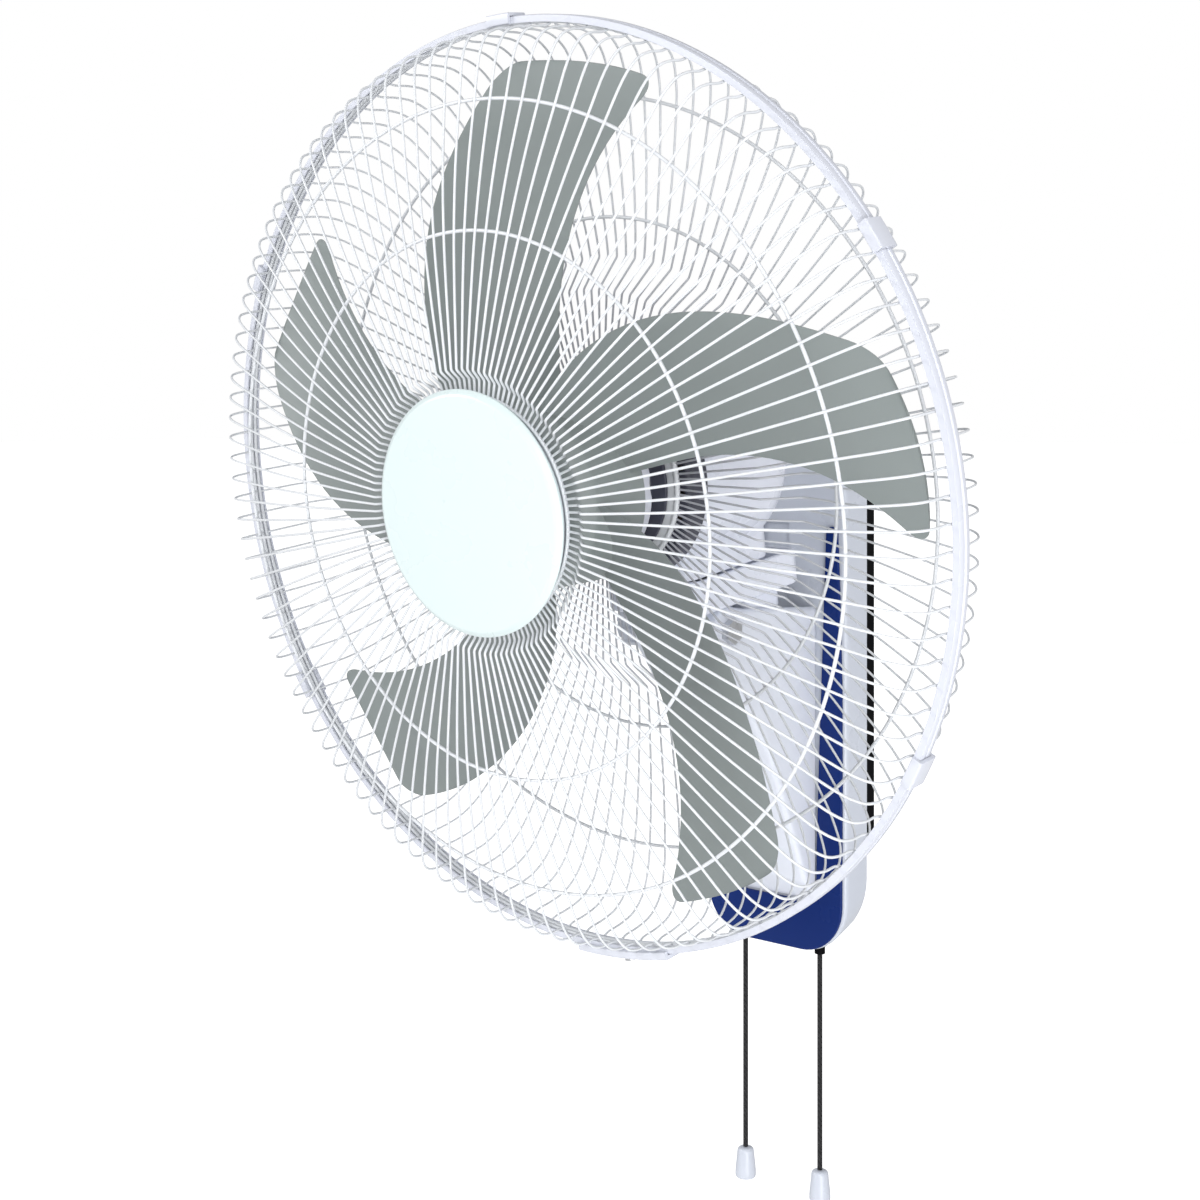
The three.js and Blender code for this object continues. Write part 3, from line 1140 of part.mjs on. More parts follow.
function cordGuide(x) {
  const floorTop = BASE_BOTTOM + BASE_WALL;
  const flange = barZ(GUIDE_RADIUS + 1.2, floorTop + SEAT_GAP, floorTop + 2, x, -CORD_REACH, 12);
  return barZ(GUIDE_RADIUS, guideBottom, floorTop + 2, x, -CORD_REACH, 12)
    .add(flange)
    .subtract(barZ(CORD_RADIUS + 0.6, guideBottom - 1, 0, x, -CORD_REACH, SMALL_SIDES));
}

function cordPoints(x) {
  return [guideBottom - SEAT_GAP, (guideBottom + CORD_END) / 2, CORD_END + SEAT_GAP]
    .map((z) => new THREE.Vector3(x, -CORD_REACH, z));
}

function pullCord(x) {
  const circle = new THREE.Shape();
  for (let i = 0; i < 8; i += 1) {
    const angle = (i * Math.PI) / 4;
    const [u, v] = [CORD_RADIUS * Math.cos(angle), CORD_RADIUS * Math.sin(angle)];
    if (i === 0) circle.moveTo(u, v);
    else circle.lineTo(u, v);
  }
  circle.closePath();
  const path = new THREE.CatmullRomCurve3(cordPoints(x));
  return solid(new THREE.ExtrudeGeometry(circle, { extrudePath: path, steps: 6, bevelEnabled: false }));
}

function pullKnob(x) {
  const bottom = CORD_END - BELL_LENGTH;
  return turnedZ([
    [0, bottom],
    [BELL_RADIUS, bottom],
    [BELL_RADIUS, bottom + 2],
    [BELL_RADIUS * 0.82, bottom + BELL_LENGTH * 0.5],
    [BELL_TOP_RADIUS, CORD_END - 1.5],
    [BELL_TOP_RADIUS * 0.6, CORD_END],
    [0, CORD_END],
  ], x, -CORD_REACH);
}

cordSides.forEach((side) => {
  const name = side > 0 ? 'speed' : 'swing';
  const x = (side * CORD_SPACING) / 2;
  add(group, `${name}_switch`, pullSwitch(x), BLACK, 0.5);
  add(group, `${name}_cord_guide`, cordGuide(x), BLACK, 0.4);
  const rod = barZ(CORD_RADIUS, guideBottom, rodTop, x, -CORD_REACH, SMALL_SIDES);
  add(group, `${name}_pull_rod`, rod, STEEL, 0.4, 1);
  add(group, `${name}_cord`, pullCord(x), BLACK, 0.8);
  add(group, `${name}_pull_knob`, pullKnob(x), WHITE, 0.3);
});

function cableInlet() {
  const wall = -BASE_HALF_WIDTH;
  const [outside, inside] = [wall - SEAT_GAP, wall + BASE_WALL + SEAT_GAP];
  return joined([
    barX(GUIDE_RADIUS, outside - 3, inside + 2, INLET_DEPTH, INLET_HEIGHT, 12),
    barX(GUIDE_RADIUS + 1.8, outside - 2, outside, INLET_DEPTH, INLET_HEIGHT, 12),
    barX(GUIDE_RADIUS + 1.8, inside, inside + 2, INLET_DEPTH, INLET_HEIGHT, 12),
  ]).subtract(barX(GUIDE_RADIUS - 1.5, outside - 4, inside + 3, INLET_DEPTH, INLET_HEIGHT, 12));
}

const blockBack = -PLATE_WALL - SEAT_GAP;
add(group, 'cable_inlet', cableInlet(), BLACK, 0.6);
add(group, 'capacitor', box(-17, 17, blockBack - 15, blockBack, -42, -22), BLACK, 0.4);
add(group, 'terminal_block', box(-18, 12, blockBack - 12, blockBack, -96, -82), WHITE, 0.5);

export default group;
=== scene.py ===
"""Looks of a wall mounted fan with two wire guards, five grey blades, a white base and two pull cords.

Lengths of the head are given in millimetres in its own directions: x to the right, y from the
guards' middle plane towards the rear, z up, all tilted with the head. Lengths of the base are in
millimetres from the centre of the wall plate's back.
"""

import math

import bmesh
import bpy
import numpy as np
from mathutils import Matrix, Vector


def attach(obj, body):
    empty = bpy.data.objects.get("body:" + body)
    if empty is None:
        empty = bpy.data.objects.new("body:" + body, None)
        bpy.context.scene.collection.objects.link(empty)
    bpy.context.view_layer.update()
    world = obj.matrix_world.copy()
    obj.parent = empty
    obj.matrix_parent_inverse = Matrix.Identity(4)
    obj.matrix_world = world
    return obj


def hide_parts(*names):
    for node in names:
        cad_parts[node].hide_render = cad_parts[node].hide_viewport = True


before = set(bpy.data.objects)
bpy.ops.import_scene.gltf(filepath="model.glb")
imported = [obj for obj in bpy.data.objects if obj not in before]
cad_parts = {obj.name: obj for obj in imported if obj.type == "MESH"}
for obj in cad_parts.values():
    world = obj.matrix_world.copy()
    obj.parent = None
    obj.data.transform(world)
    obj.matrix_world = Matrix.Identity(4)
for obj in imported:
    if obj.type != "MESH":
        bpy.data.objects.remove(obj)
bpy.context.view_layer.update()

MM = 0.001
HEAD_CENTRE = (0, -228, 102)
HEAD_TILT = math.radians(8)

# ---------------------------------------------------------------- camera and cords

CAMERA_PLACE = (0.6598, -0.9490, 0.1456)
CAMERA_TURN = math.radians(40.98)
CAMERA_LENS = 56.97
SENSOR_WIDTH = 36
IMAGE_SIDE = 1200  # pixels
HORIZON_ROW = 408  # the camera is level


def add_object(name, data):
    """A new object of the scene."""
    added = bpy.data.objects.new(name, data)
    bpy.context.scene.collection.objects.link(added)
    return added


def make_camera():
    data = bpy.data.cameras.new("camera")
    data.sensor_width = SENSOR_WIDTH
    data.lens = CAMERA_LENS
    data.shift_y = (HORIZON_ROW - IMAGE_SIDE / 2) / IMAGE_SIDE
    camera = add_object("camera", data)
    camera.location = CAMERA_PLACE
    camera.rotation_euler = (math.pi / 2, 0, CAMERA_TURN)
    bpy.context.scene.camera = camera


CORD_SPACING = 54
CORD_REACH = -24
CORD_TOP = -174.3
CORD_BOTTOM = -300.7
CORD_WIDTH = 3.0
CORD_POINTS = 24


def make_cord(kind, x, knob):
    """A braided pull cord hanging from its guide to its knob."""
    name = f"{kind}_braid"
    heights = np.linspace(CORD_TOP, CORD_BOTTOM, CORD_POINTS)
    curve = bpy.data.curves.new(name, "CURVE")
    curve.dimensions = "3D"
    curve.bevel_depth = CORD_WIDTH / 2 * MM
    curve.bevel_resolution = 4
    curve.use_fill_caps = True
    spline = curve.splines.new("POLY")
    spline.points.add(CORD_POINTS - 1)
    for point, z in zip(spline.points, heights):
        point.co = (x * MM, CORD_REACH * MM, z * MM, 1)
    piece = add_object(name, curve)
    finish_piece(piece, BLACK_CORD, f"{kind}_pull", [f"{kind}_cord"])


# ---------------------------------------------------------------- materials

NOISE_SPAN = (0.3, 0.7)  # most of a noise lies between these
HUB_SHADE_SPAN = (0.09, 0.17)  # metres from the head's centre, over which the painted shade on the rear wires fades out towards the rim


class Material:
    """A node material: a Principled shader whose colour, roughness and bump come from its nodes."""

    def __init__(self, name, metallic=0.0, ior=1.5):
        self.data = bpy.data.materials.new(name)
        self.data.use_nodes = True
        self.nodes = self.data.node_tree.nodes
        self.shader = self.nodes["Principled BSDF"]
        self.shader.inputs["Metallic"].default_value = metallic
        self.shader.inputs["IOR"].default_value = ior
        self.place = self.add("ShaderNodeTexCoord").outputs["Object"]

    def add(self, kind, **settings):
        node = self.nodes.new(kind)
        for key, value in settings.items():
            setattr(node, key, value)
        return node

    def link(self, source, target):
        self.data.node_tree.links.new(source, target)

    def noise(self, scale, detail=4.0, stretch=(1, 1, 1)):
        mapping = self.add("ShaderNodeMapping")
        mapping.inputs["Scale"].default_value = stretch
        self.link(self.place, mapping.inputs["Vector"])
        node = self.add("ShaderNodeTexNoise")
        node.inputs["Scale"].default_value = scale
        node.inputs["Detail"].default_value = detail
        self.link(mapping.outputs["Vector"], node.inputs["Vector"])
        return node.outputs["Fac"]

    def colour(self, source, low, high, span=NOISE_SPAN):
        ramp = self.add("ShaderNodeValToRGB")
        for i, tone in enumerate((low, high)):
            ramp.color_ramp.elements[i].position = span[i]
            ramp.color_ramp.elements[i].color = (*tone, 1)
        self.link(source, ramp.inputs["Fac"])
        self.link(ramp.outputs["Color"], self.shader.inputs["Base Color"])
        return ramp.outputs["Color"]

    def roughness(self, source, low, high):
        spread = self.add("ShaderNodeMapRange")
        spread.inputs["From Min"].default_value = NOISE_SPAN[0]
        spread.inputs["From Max"].default_value = NOISE_SPAN[1]
        spread.inputs["To Min"].default_value = low
        spread.inputs["To Max"].default_value = high
        self.link(source, spread.inputs["Value"])
        self.link(spread.outputs["Result"], self.shader.inputs["Roughness"])

    def bump(self, source, depth):
        node = self.add("ShaderNodeBump")
        node.inputs["Strength"].default_value = 1.0
        node.inputs["Distance"].default_value = depth * MM
        self.link(source, node.inputs["Height"])
        self.link(node.outputs["Normal"], self.shader.inputs["Normal"])


def moulded(name, low, high, rough, grain=0.03, ior=1.48):
    """Moulded plastic: faint flow marks in the colour, uneven gloss and a fine skin texture."""
    made = Material(name, ior=ior)
    made.colour(made.noise(9, 3), low, high)
    made.roughness(made.noise(34, 5), rough - 0.05, rough + 0.06)
    made.bump(made.noise(900, 2), grain)
    return made.data


def metal(name, low, high, rough, stretch=(1, 1, 1)):
    """Bare metal with a faint grain, which a stretch draws out into lines."""
    made = Material(name, metallic=1.0)
    source = made.noise(220, stretch=stretch)
    made.colour(source, low, high)
    made.roughness(source, rough - 0.08, rough + 0.1)
    made.bump(source, 0.02)
    return made.data


def powder_coat(name, low, high, hub_shade=False):
    """Powder-coated wire: a slight orange-peel surface and a mottled tone; with hub_shade, painted shade
    instead, darkest at the head's centre and fading towards the rim.
    """
    made = Material(name)
    # painted shade: near the hub the rear wires are darkened, standing for the shade of the blades
    if hub_shade:
        reach = made.add("ShaderNodeVectorMath", operation="DISTANCE")
        reach.inputs[1].default_value = [value * MM for value in HEAD_CENTRE]
        made.link(made.place, reach.inputs[0])
        made.colour(reach.outputs["Value"], low, high, HUB_SHADE_SPAN)
    else:
        made.colour(made.noise(60, 3), low, high)
    made.roughness(made.noise(180, 3), 0.28, 0.42)
    made.bump(made.noise(1600, 2), 0.02)
    return made.data


def braid(name):
    """Twisted black yarn round the cord."""
    made = Material(name, ior=1.45)
    wave = made.add("ShaderNodeTexWave", wave_type="BANDS", bands_direction="DIAGONAL")
    wave.inputs["Scale"].default_value = 190
    wave.inputs["Distortion"].default_value = 1.4
    wave.inputs["Detail"].default_value = 2
    made.link(made.place, wave.inputs["Vector"])
    made.colour(wave.outputs["Fac"], (0.003, 0.003, 0.004), (0.012, 0.012, 0.014))
    made.roughness(made.noise(500), 0.65, 0.9)
    made.bump(wave.outputs["Fac"], 0.35)
    made.shader.inputs["Sheen Weight"].default_value = 0.05
    return made.data


SHELL_WHITE = moulded("shell_white", (0.73, 0.76, 0.86), (0.78, 0.81, 0.91), 0.30)
# the same white plastic as shell_white, darkened as painted shade for the base's shell, knobs and tilt knob,
# which the side lamp lights brightly
BASE_WHITE_SHADED = moulded("base_white_painted_shade", (0.50, 0.53, 0.60), (0.54, 0.57, 0.64), 0.30)
# the same white plastic, made brighter than base white as painted light that lifts the shade next to the
# housing
COVER_WHITE_LIT = moulded("cover_white_painted_light", (0.68, 0.71, 0.79), (0.73, 0.76, 0.84), 0.36)
RIM_WHITE = moulded("rim_white", (0.58, 0.60, 0.67), (0.63, 0.65, 0.72), 0.30)
BADGE_WHITE = moulded("badge_white", (0.61, 0.70, 0.705), (0.62, 0.71, 0.715), 0.28, grain=0.0)
FRONT_WIRE = powder_coat("front_wire_coat", (0.62, 0.64, 0.67), (0.68, 0.70, 0.73))
# the rear wires: the same white coat as the front ones, with painted shade darkening them towards the hub
REAR_WIRE_HUB_SHADED = powder_coat("rear_wire_coat_hub_shade", (0.40, 0.41, 0.45), (0.66, 0.68, 0.71), hub_shade=True)
BLADE_GREY = moulded("blade_grey", (0.212, 0.239, 0.237), (0.236, 0.264, 0.262), 0.50, grain=0.0)
TRIM_BLUE = moulded("trim_blue", (0.005, 0.020, 0.125), (0.007, 0.025, 0.145), 0.24,
                    grain=0.005, ior=1.22)
MOTOR_GREY = moulded("motor_grey", (0.040, 0.042, 0.060), (0.062, 0.065, 0.090), 0.40, grain=0.05)
PLATE_BLACK = moulded("plate_black", (0.002, 0.002, 0.003), (0.005, 0.005, 0.006), 0.60,
                      grain=0.05, ior=1.12)
BLACK_CORD = braid("black_braid")
STEEL = metal("zinc_steel", (0.52, 0.53, 0.55), (0.66, 0.67, 0.69), 0.34)
LAMINATION = metal("stator_steel", (0.30, 0.23, 0.18), (0.46, 0.36, 0.30), 0.5, stretch=(1, 12, 1))
BRONZE = metal("sintered_bronze", (0.40, 0.29, 0.15), (0.52, 0.40, 0.22), 0.45)

NODE_LOOKS = {
    SHELL_WHITE: ["motor_housing", "neck_bracket"],
    BASE_WHITE_SHADED: ["back_shell", "tilt_knob", "terminal_block", "speed_pull_knob", "swing_pull_knob"],
    COVER_WHITE_LIT: ["front_cover"],
    RIM_WHITE: ["rim_band", "rim_strap", "guard_nut", "badge_backing"]
    + [f"rim_clip_{i}" for i in range(1, 6)],
    BADGE_WHITE: ["badge"],
    FRONT_WIRE: ["front_guard"],
    REAR_WIRE_HUB_SHADED: ["rear_guard"],
    BLADE_GREY: ["impeller", "blade_nut"],
    TRIM_BLUE: ["trim_u"],
    MOTOR_GREY: ["motor_front_cover"],
    PLATE_BLACK: ["wall_plate", "swing_motor", "speed_switch", "swing_switch", "speed_cord_guide",
                  "swing_cord_guide", "cable_inlet", "capacitor"],
    BLACK_CORD: ["speed_cord", "swing_cord", "speed_pull_rod", "swing_pull_rod"],
    LAMINATION: ["stator"],
    BRONZE: ["front_bush", "rear_bush", "swing_bush"],
}


def dress_nodes():
    """Every CAD node gets a procedural material; metal is the default."""
    look = {node: material for material, nodes in NODE_LOOKS.items() for node in nodes}
    for name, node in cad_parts.items():
        node.data.materials.clear()
        node.data.materials.append(look.get(name, STEEL))


# ---------------------------------------------------------------- making pieces

WELD_REACH = 1e-6
SHARP = 35  # degrees between faces, above which their edge stays sharp
WIRE_SHARP = 60


def finish_piece(piece, material, body, replaced=()):
    """Gives a piece its material and body, and hides the CAD nodes that it stands for."""
    piece.data.materials.append(material)
    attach(piece, body)
    if replaced:
        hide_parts(*replaced)
    return piece


def head_place(points):
    """Head millimetres to metres in the shared frame."""
    points = np.asarray(points, float)
    c, s = math.cos(HEAD_TILT), math.sin(HEAD_TILT)
    x, y, z = points[:, 0], points[:, 1], points[:, 2]
    centre_x, centre_y, centre_z = HEAD_CENTRE
    return np.stack([x + centre_x, y * c - z * s + centre_y, y * s + z * c + centre_z], 1) * MM


def base_place(points):
    """Base millimetres to metres in the shared frame."""
    return np.asarray(points, float) * MM


def weld(mesh):
    """Joins doubled points and turns every face outwards."""
    solid = bmesh.new()
    solid.from_mesh(mesh)
    bmesh.ops.remove_doubles(solid, verts=solid.verts, dist=WELD_REACH)
    bmesh.ops.recalc_face_normals(solid, faces=solid.faces)
    solid.to_mesh(mesh)
    solid.free()


def make_mesh(name, points, faces, place, sharp=SHARP):
    mesh = bpy.data.meshes.new(name)
    mesh.from_pydata(place(points).tolist(), [], faces)
    mesh.validate()
    weld(mesh)
    shade(mesh, sharp)
    return add_object(name, mesh)


def shade(mesh, sharp):
    mesh.polygons.foreach_set("use_smooth", [True] * len(mesh.polygons))
    mesh.set_sharp_from_angle(angle=math.radians(sharp))


def evaluated_mesh(piece):
    """The piece's mesh with its modifiers, or a curve's as a mesh."""
    bpy.context.view_layer.update()
    return bpy.data.meshes.new_from_object(piece.evaluated_get(bpy.context.evaluated_depsgraph_get()))


def carved(piece, parts, place):
    """The piece with closed (points, faces) parts cut out of it."""
    tool = make_mesh("cutter", *merged(parts), place)
    boolean = piece.modifiers.new("cut", "BOOLEAN")
    boolean.operation = "DIFFERENCE"
    boolean.solver = "EXACT"
    boolean.object = tool
    mesh = evaluated_mesh(piece)
    piece.modifiers.clear()
    bpy.data.objects.remove(tool)
    piece.data = mesh
    shade(mesh, SHARP)
    return piece


def block(x0, x1, y0, y1, z0, z1):
    """A box, as (points, faces)."""
    points = [(x, y, z) for x in (x0, x1) for y in (y0, y1) for z in (z0, z1)]
    return points, [(0, 1, 3, 2), (4, 6, 7, 5), (0, 4, 5, 1), (2, 3, 7, 6), (0, 2, 6, 4), (1, 5, 7, 3)]


def merged(parts):
    """Several (points, faces) as one."""
    points, faces, start = [], [], 0
    for some_points, some_faces in parts:
        points.append(np.asarray(some_points, float))
        faces += [tuple(i + start for i in face) for face in some_faces]
        start += len(some_points)
    return np.concatenate(points), faces


def grid_faces(rows, columns, wrap_rows, wrap_columns):
    """Faces between loops of points, closed on themselves in either direction."""
    faces = []
    for i in range(rows if wrap_rows else rows - 1):
        for j in range(columns if wrap_columns else columns - 1):
            a, b = i * columns, ((i + 1) % rows) * columns
            k = (j + 1) % columns
            faces.append((a + j, a + k, b + k, b + j))
    return faces


def end_faces(total, count):
    """One face over the first loop of points and one over the last."""
    return [tuple(range(count)), tuple(range(total - count, total))]


def filleted(points, radii, steps=5):
    """A polyline with its inner corners rounded; radii has one value for each inner corner."""
    points = [np.asarray(p, float) for p in points]
    path = [points[0]]
    for before, corner, after, radius in zip(points, points[1:], points[2:], radii):
        u, v = before - corner, after - corner
        u_long, v_long = np.linalg.norm(u), np.linalg.norm(v)
        u, v = u / u_long, v / v_long
        half = math.acos(max(-1, min(1, float(u @ v)))) / 2
        reach = min(radius / math.tan(half), 0.49 * u_long, 0.49 * v_long) if half > 1e-3 else 0
        if reach < 1e-4 or half > math.pi / 2 - 1e-3:
            path.append(corner)
            continue
        start, end = corner + u * reach, corner + v * reach
        for i in range(steps + 1):
            t = i / steps
            path.append((1 - t) ** 2 * start + 2 * t * (1 - t) * corner + t * t * end)
    path.append(points[-1])
    return np.array(path)


def smooth_path(points, per_span):
    """A curve through the points."""
    points = np.asarray(points, float)
    ends = np.concatenate([[2 * points[0] - points[1]], points, [2 * points[-1] - points[-2]]])
    path = []
    for a, b, c, d in zip(ends, ends[1:], ends[2:], ends[3:]):
        for i in range(per_span):
            t = i / per_span
            bend = (2 * a - 5 * b + 4 * c - d) * t**2 + (3 * b - a - 3 * c + d) * t**3
            path.append(0.5 * (2 * b + (c - a) * t + bend))
    path.append(points[-1])
    return np.array(path)


def turned(profile, segments=128, closed=False):
    """A profile of (radius, y) turned round the head's axis. An open profile starts and ends on the axis."""
    profile = np.asarray(profile, float)
    turns = np.arange(segments) * 2 * math.pi / segments
    points = [(r * math.cos(a), y, r * math.sin(a)) for a in turns for r, y in profile]
    return points, grid_faces(segments, len(profile), True, closed)


def tube(path, radius, sides=8, closed=False):
    """A round bar along a path in a plane or in space, with flat ends."""
    path = np.asarray(path, float)
    ahead = np.roll(path, -1, 0) - path
    behind = path - np.roll(path, 1, 0)
    if not closed:
        ahead[-1], behind[0] = behind[-1], ahead[0]
    along = ahead / np.linalg.norm(ahead, axis=1)[:, None] + behind / np.linalg.norm(behind, axis=1)[:, None]
    along /= np.linalg.norm(along, axis=1)[:, None]
    guide = np.array([0.0, 0.0, 1.0]) if abs(along[0][2]) < 0.9 else np.array([1.0, 0.0, 0.0])
    points = []
    for place, direction in zip(path, along):
        guide = guide - direction * (guide @ direction)
        guide /= np.linalg.norm(guide)
        side = np.cross(direction, guide)
        for k in range(sides):
            a = 2 * math.pi * k / sides
            points.append(place + radius * (math.cos(a) * guide + math.sin(a) * side))
    faces = grid_faces(len(path), sides, closed, True)
    if not closed:
        faces += end_faces(len(points), sides)
    return np.array(points), faces


def spun(points, degrees):
    """Points turned round the head's axis."""
    a = math.radians(degrees)
    points = np.asarray(points, float)
    x, z = points[:, 0], points[:, 2]
    return np.stack([x * math.cos(a) - z * math.sin(a), points[:, 1], x * math.sin(a) + z * math.cos(a)], 1)


def stacked(outline, levels, to_point):
    """A solid made of one outline at several levels. outline(inset) has a fixed number of (u, v) points,
    each level is (inset, depth), and to_point turns (u, v, depth) into a point."""
    loops = [[to_point(u, v, depth) for u, v in outline(inset)] for inset, depth in levels]
    count = len(loops[0])
    points = [point for loop in loops for point in loop]
    return points, grid_faces(len(loops), count, False, True) + end_faces(len(points), count)


def rounded_outline(half_width, bottom, top, bottom_round, top_round, steps=8):
    """A rectangle with rounded corners as a function of its inset."""

    def outline(inset):
        corners = [(1, -1, bottom_round), (1, 1, top_round), (-1, 1, top_round), (-1, -1, bottom_round)]
        path = []
        for k, (sx, sz, round_off) in enumerate(corners):
            radius = max(round_off - inset, 0.3)
            cx = sx * (half_width - inset - radius)
            cz = (top - inset - radius) if sz > 0 else (bottom + inset + radius)
            for i in range(steps + 1):
                a = math.radians(-90 + 90 * k + 90 * i / steps)
                path.append((cx + radius * math.cos(a), cz + radius * math.sin(a)))
        return path

    return outline


def to_top(u, v, depth):
    return (u, v, depth)


def to_front(u, v, depth):
    return (u, depth, v)


def to_side(u, v, depth):
    return (depth, u, v)


# ---------------------------------------------------------------- guards

WIRES = 120
FRONT_WIRE_RADIUS = 0.66
REAR_WIRE_RADIUS = 0.58
RING_RADIUS = 0.92
RING_STEPS = 240
OUTER_RING = 237.9
MIDDLE_RINGS = (201, 138)
FRONT_DOME = [(235.6, 6), (235.2, 14), (232, 21.5), (222, 27.8), (201, 33.4), (170, 41.2), (138, 47.6),
              (110, 51.9), (88, 54.8)]
FRONT_DISH = [(71, 57), (66, 52.5), (57.5, 52.5)]
REAR_DOME = [(235.6, 6), (235.0, 16), (232.5, 27), (225, 36.5), (213, 42.6), (201, 46.3), (170, 52.6),
             (138, 57), (124, 58.3)]
REAR_STEP = [(117, 58.5), (101, 43), (50, 41.7), (39, 41.7)]


def ring(radius, depth, thick):
    turns = np.arange(RING_STEPS) * 2 * math.pi / RING_STEPS
    path = np.stack([radius * np.cos(turns), np.full(RING_STEPS, depth), radius * np.sin(turns)], 1)
    return tube(path, thick, 10, closed=True)


def make_guard(name, side, wire_radius, coat, dome, hub, hub_rounds, hub_ring):
    """The radial wires of one guard, from the rim to the hub, and the rings welded inside them. side is -1
    for the front guard, whose depth is towards -y."""
    root = [(OUTER_RING - 1.2, 1.9)]
    profile = np.concatenate([smooth_path(root + dome, 4)[:-1], filleted([dome[-1]] + hub, hub_rounds, 4)])
    wire = np.stack([profile[:, 0], side * profile[:, 1], np.zeros(len(profile))], 1)
    points, faces = tube(wire, wire_radius, 8)
    parts = [(spun(points, 360 * (i + 0.5) / WIRES), faces) for i in range(WIRES)]
    wires = make_mesh(f"{name}_wires", *merged(parts), head_place, WIRE_SHARP)
    finish_piece(wires, coat, "head", [name])
    under = wire_radius + RING_RADIUS / 2
    parts = [ring(OUTER_RING, side * 1.5, 1.1)]
    parts += [ring(radius, side * (dict(dome)[radius] - under), RING_RADIUS) for radius in MIDDLE_RINGS]
    rings = make_mesh(f"{name}_rings", *merged(parts + [ring(*hub_ring)]), head_place, WIRE_SHARP)
    finish_piece(rings, FRONT_WIRE, "head")


def make_guards():
    make_guard("front_guard", -1, FRONT_WIRE_RADIUS, FRONT_WIRE, FRONT_DOME, FRONT_DISH, (2.5, 2.5),
               (58, -52.5, RING_RADIUS))
    make_guard("rear_guard", 1, REAR_WIRE_RADIUS, REAR_WIRE_HUB_SHADED, REAR_DOME, REAR_STEP, (3, 3, 8), (50, 41.6, 1.5))
    plate = [(38.3, 42.4), (49, 42.4), (49, 41.0), (38.3, 41.0)]
    disc = make_mesh("rear_guard_plate", *turned(plate, 96, closed=True), head_place)
    finish_piece(disc, FRONT_WIRE, "head")


# ---------------------------------------------------------------- rim

RIM_RADIUS = 241.3
RIM_HALF = 4.5
CLIP_ANGLES = (150, 90, 30, -30, -150)
STRAP_ANGLE = -84


def make_rim():
    """A U-shaped band, open towards the wires, with a groove round its outside."""
    inner = RIM_RADIUS - 2.2
    lip, lip_foot = inner - 1.5, RIM_HALF - 1
    half = [(RIM_RADIUS - 0.6, 0.7), (RIM_RADIUS, 1.2), (RIM_RADIUS, RIM_HALF - 0.9),
            (RIM_RADIUS - 0.4, RIM_HALF), (lip, RIM_HALF), (lip, lip_foot), (inner, lip_foot - 0.4)]
    band = turned([(r, -y) for r, y in half[::-1]] + half, 288, closed=True)
    band = make_mesh("rim_band_grooved", *band, head_place, 50)
    finish_piece(band, RIM_WHITE, "head", ["rim_band"])


def rim_bracket(length, wall, lip, degrees):
    """A C-shaped bracket bent along the rim."""
    half, inner = RIM_HALF + 0.3, RIM_RADIUS + 0.3
    section = [(inner - lip, -half), (inner, -half), (inner, half), (inner - lip, half),
               (inner - lip, half + wall), (inner + wall, half + wall), (inner + wall, -half - wall),
               (inner - lip, -half - wall), (inner - lip, -half)]
    section = filleted(section, (0.05, 0.05, 0.3, 0.4, 1.2, 1.2, 0.4), 3)[:-1]
    reach = length / RIM_RADIUS
    rows = max(3, int(length / 4))
    points = []
    for i in range(rows + 1):
        a = math.radians(degrees) + reach * (i / rows - 0.5)
        points += [(r * math.cos(a), y, r * math.sin(a)) for r, y in section]
    count = len(section)
    return points, grid_faces(rows + 1, count, False, True) + end_faces(len(points), count)


def make_clips():
    for i, angle in enumerate(CLIP_ANGLES):
        clip = make_mesh(f"rim_clip_bent_{i + 1}", *rim_bracket(15, 1.7, 3.9, angle), head_place)
        finish_piece(clip, RIM_WHITE, "head", [f"rim_clip_{i + 1}"])
    strap = make_mesh("rim_strap_bent", *rim_bracket(60, 2.1, 2.0, STRAP_ANGLE), head_place)
    finish_piece(strap, RIM_WHITE, "head", ["rim_strap"])


# ---------------------------------------------------------------- badge disc

BADGE_RADIUS = 62
BADGE_FRONT = -62.9
BADGE_RIM_BACK = -59.2
SKIRT_RADIUS = 57
BADGE_BACK = -53.7
BACKING = (-51.2, -49.4)


def make_badge():
    """A domed disc on a smaller skirt, and the plate that holds it from behind the wires."""
    profile = filleted([(0, BADGE_FRONT - 1.4), (32, BADGE_FRONT - 1.0), (BADGE_RADIUS - 3, BADGE_FRONT),
                        (BADGE_RADIUS, BADGE_FRONT + 2.4), (BADGE_RADIUS - 0.3, BADGE_RIM_BACK),
                        (SKIRT_RADIUS, BADGE_RIM_BACK), (SKIRT_RADIUS, BADGE_BACK),
                        (SKIRT_RADIUS - 2, BADGE_BACK), (SKIRT_RADIUS - 2.4, BADGE_FRONT + 3.2),
                        (0, BADGE_FRONT + 0.6)],
                       (60, 3.2, 1.2, 0.4, 0.3, 0.3, 0.3, 1), 5)
    disc = make_mesh("badge_disc", *turned(profile, 192), head_place)
    finish_piece(disc, BADGE_WHITE, "head", ["badge"])
    front, rear = BACKING
    plate = filleted([(0, front), (SKIRT_RADIUS, front), (SKIRT_RADIUS, rear), (0, rear)], (0.4, 0.4), 3)
    backing = make_mesh("badge_backing_plate", *turned(plate, 96), head_place)
    finish_piece(backing, RIM_WHITE, "head", ["badge_backing"])


# ---------------------------------------------------------------- impeller

BLADES = 5
BLADE_TIP = 219
HUB_RADIUS = 50
BLADE_LENGTH = BLADE_TIP - HUB_RADIUS
CAMBER = 3
TIP_CORNER = 12
LEAD_DEPTH = -8.0
CHORD_STEPS = 24


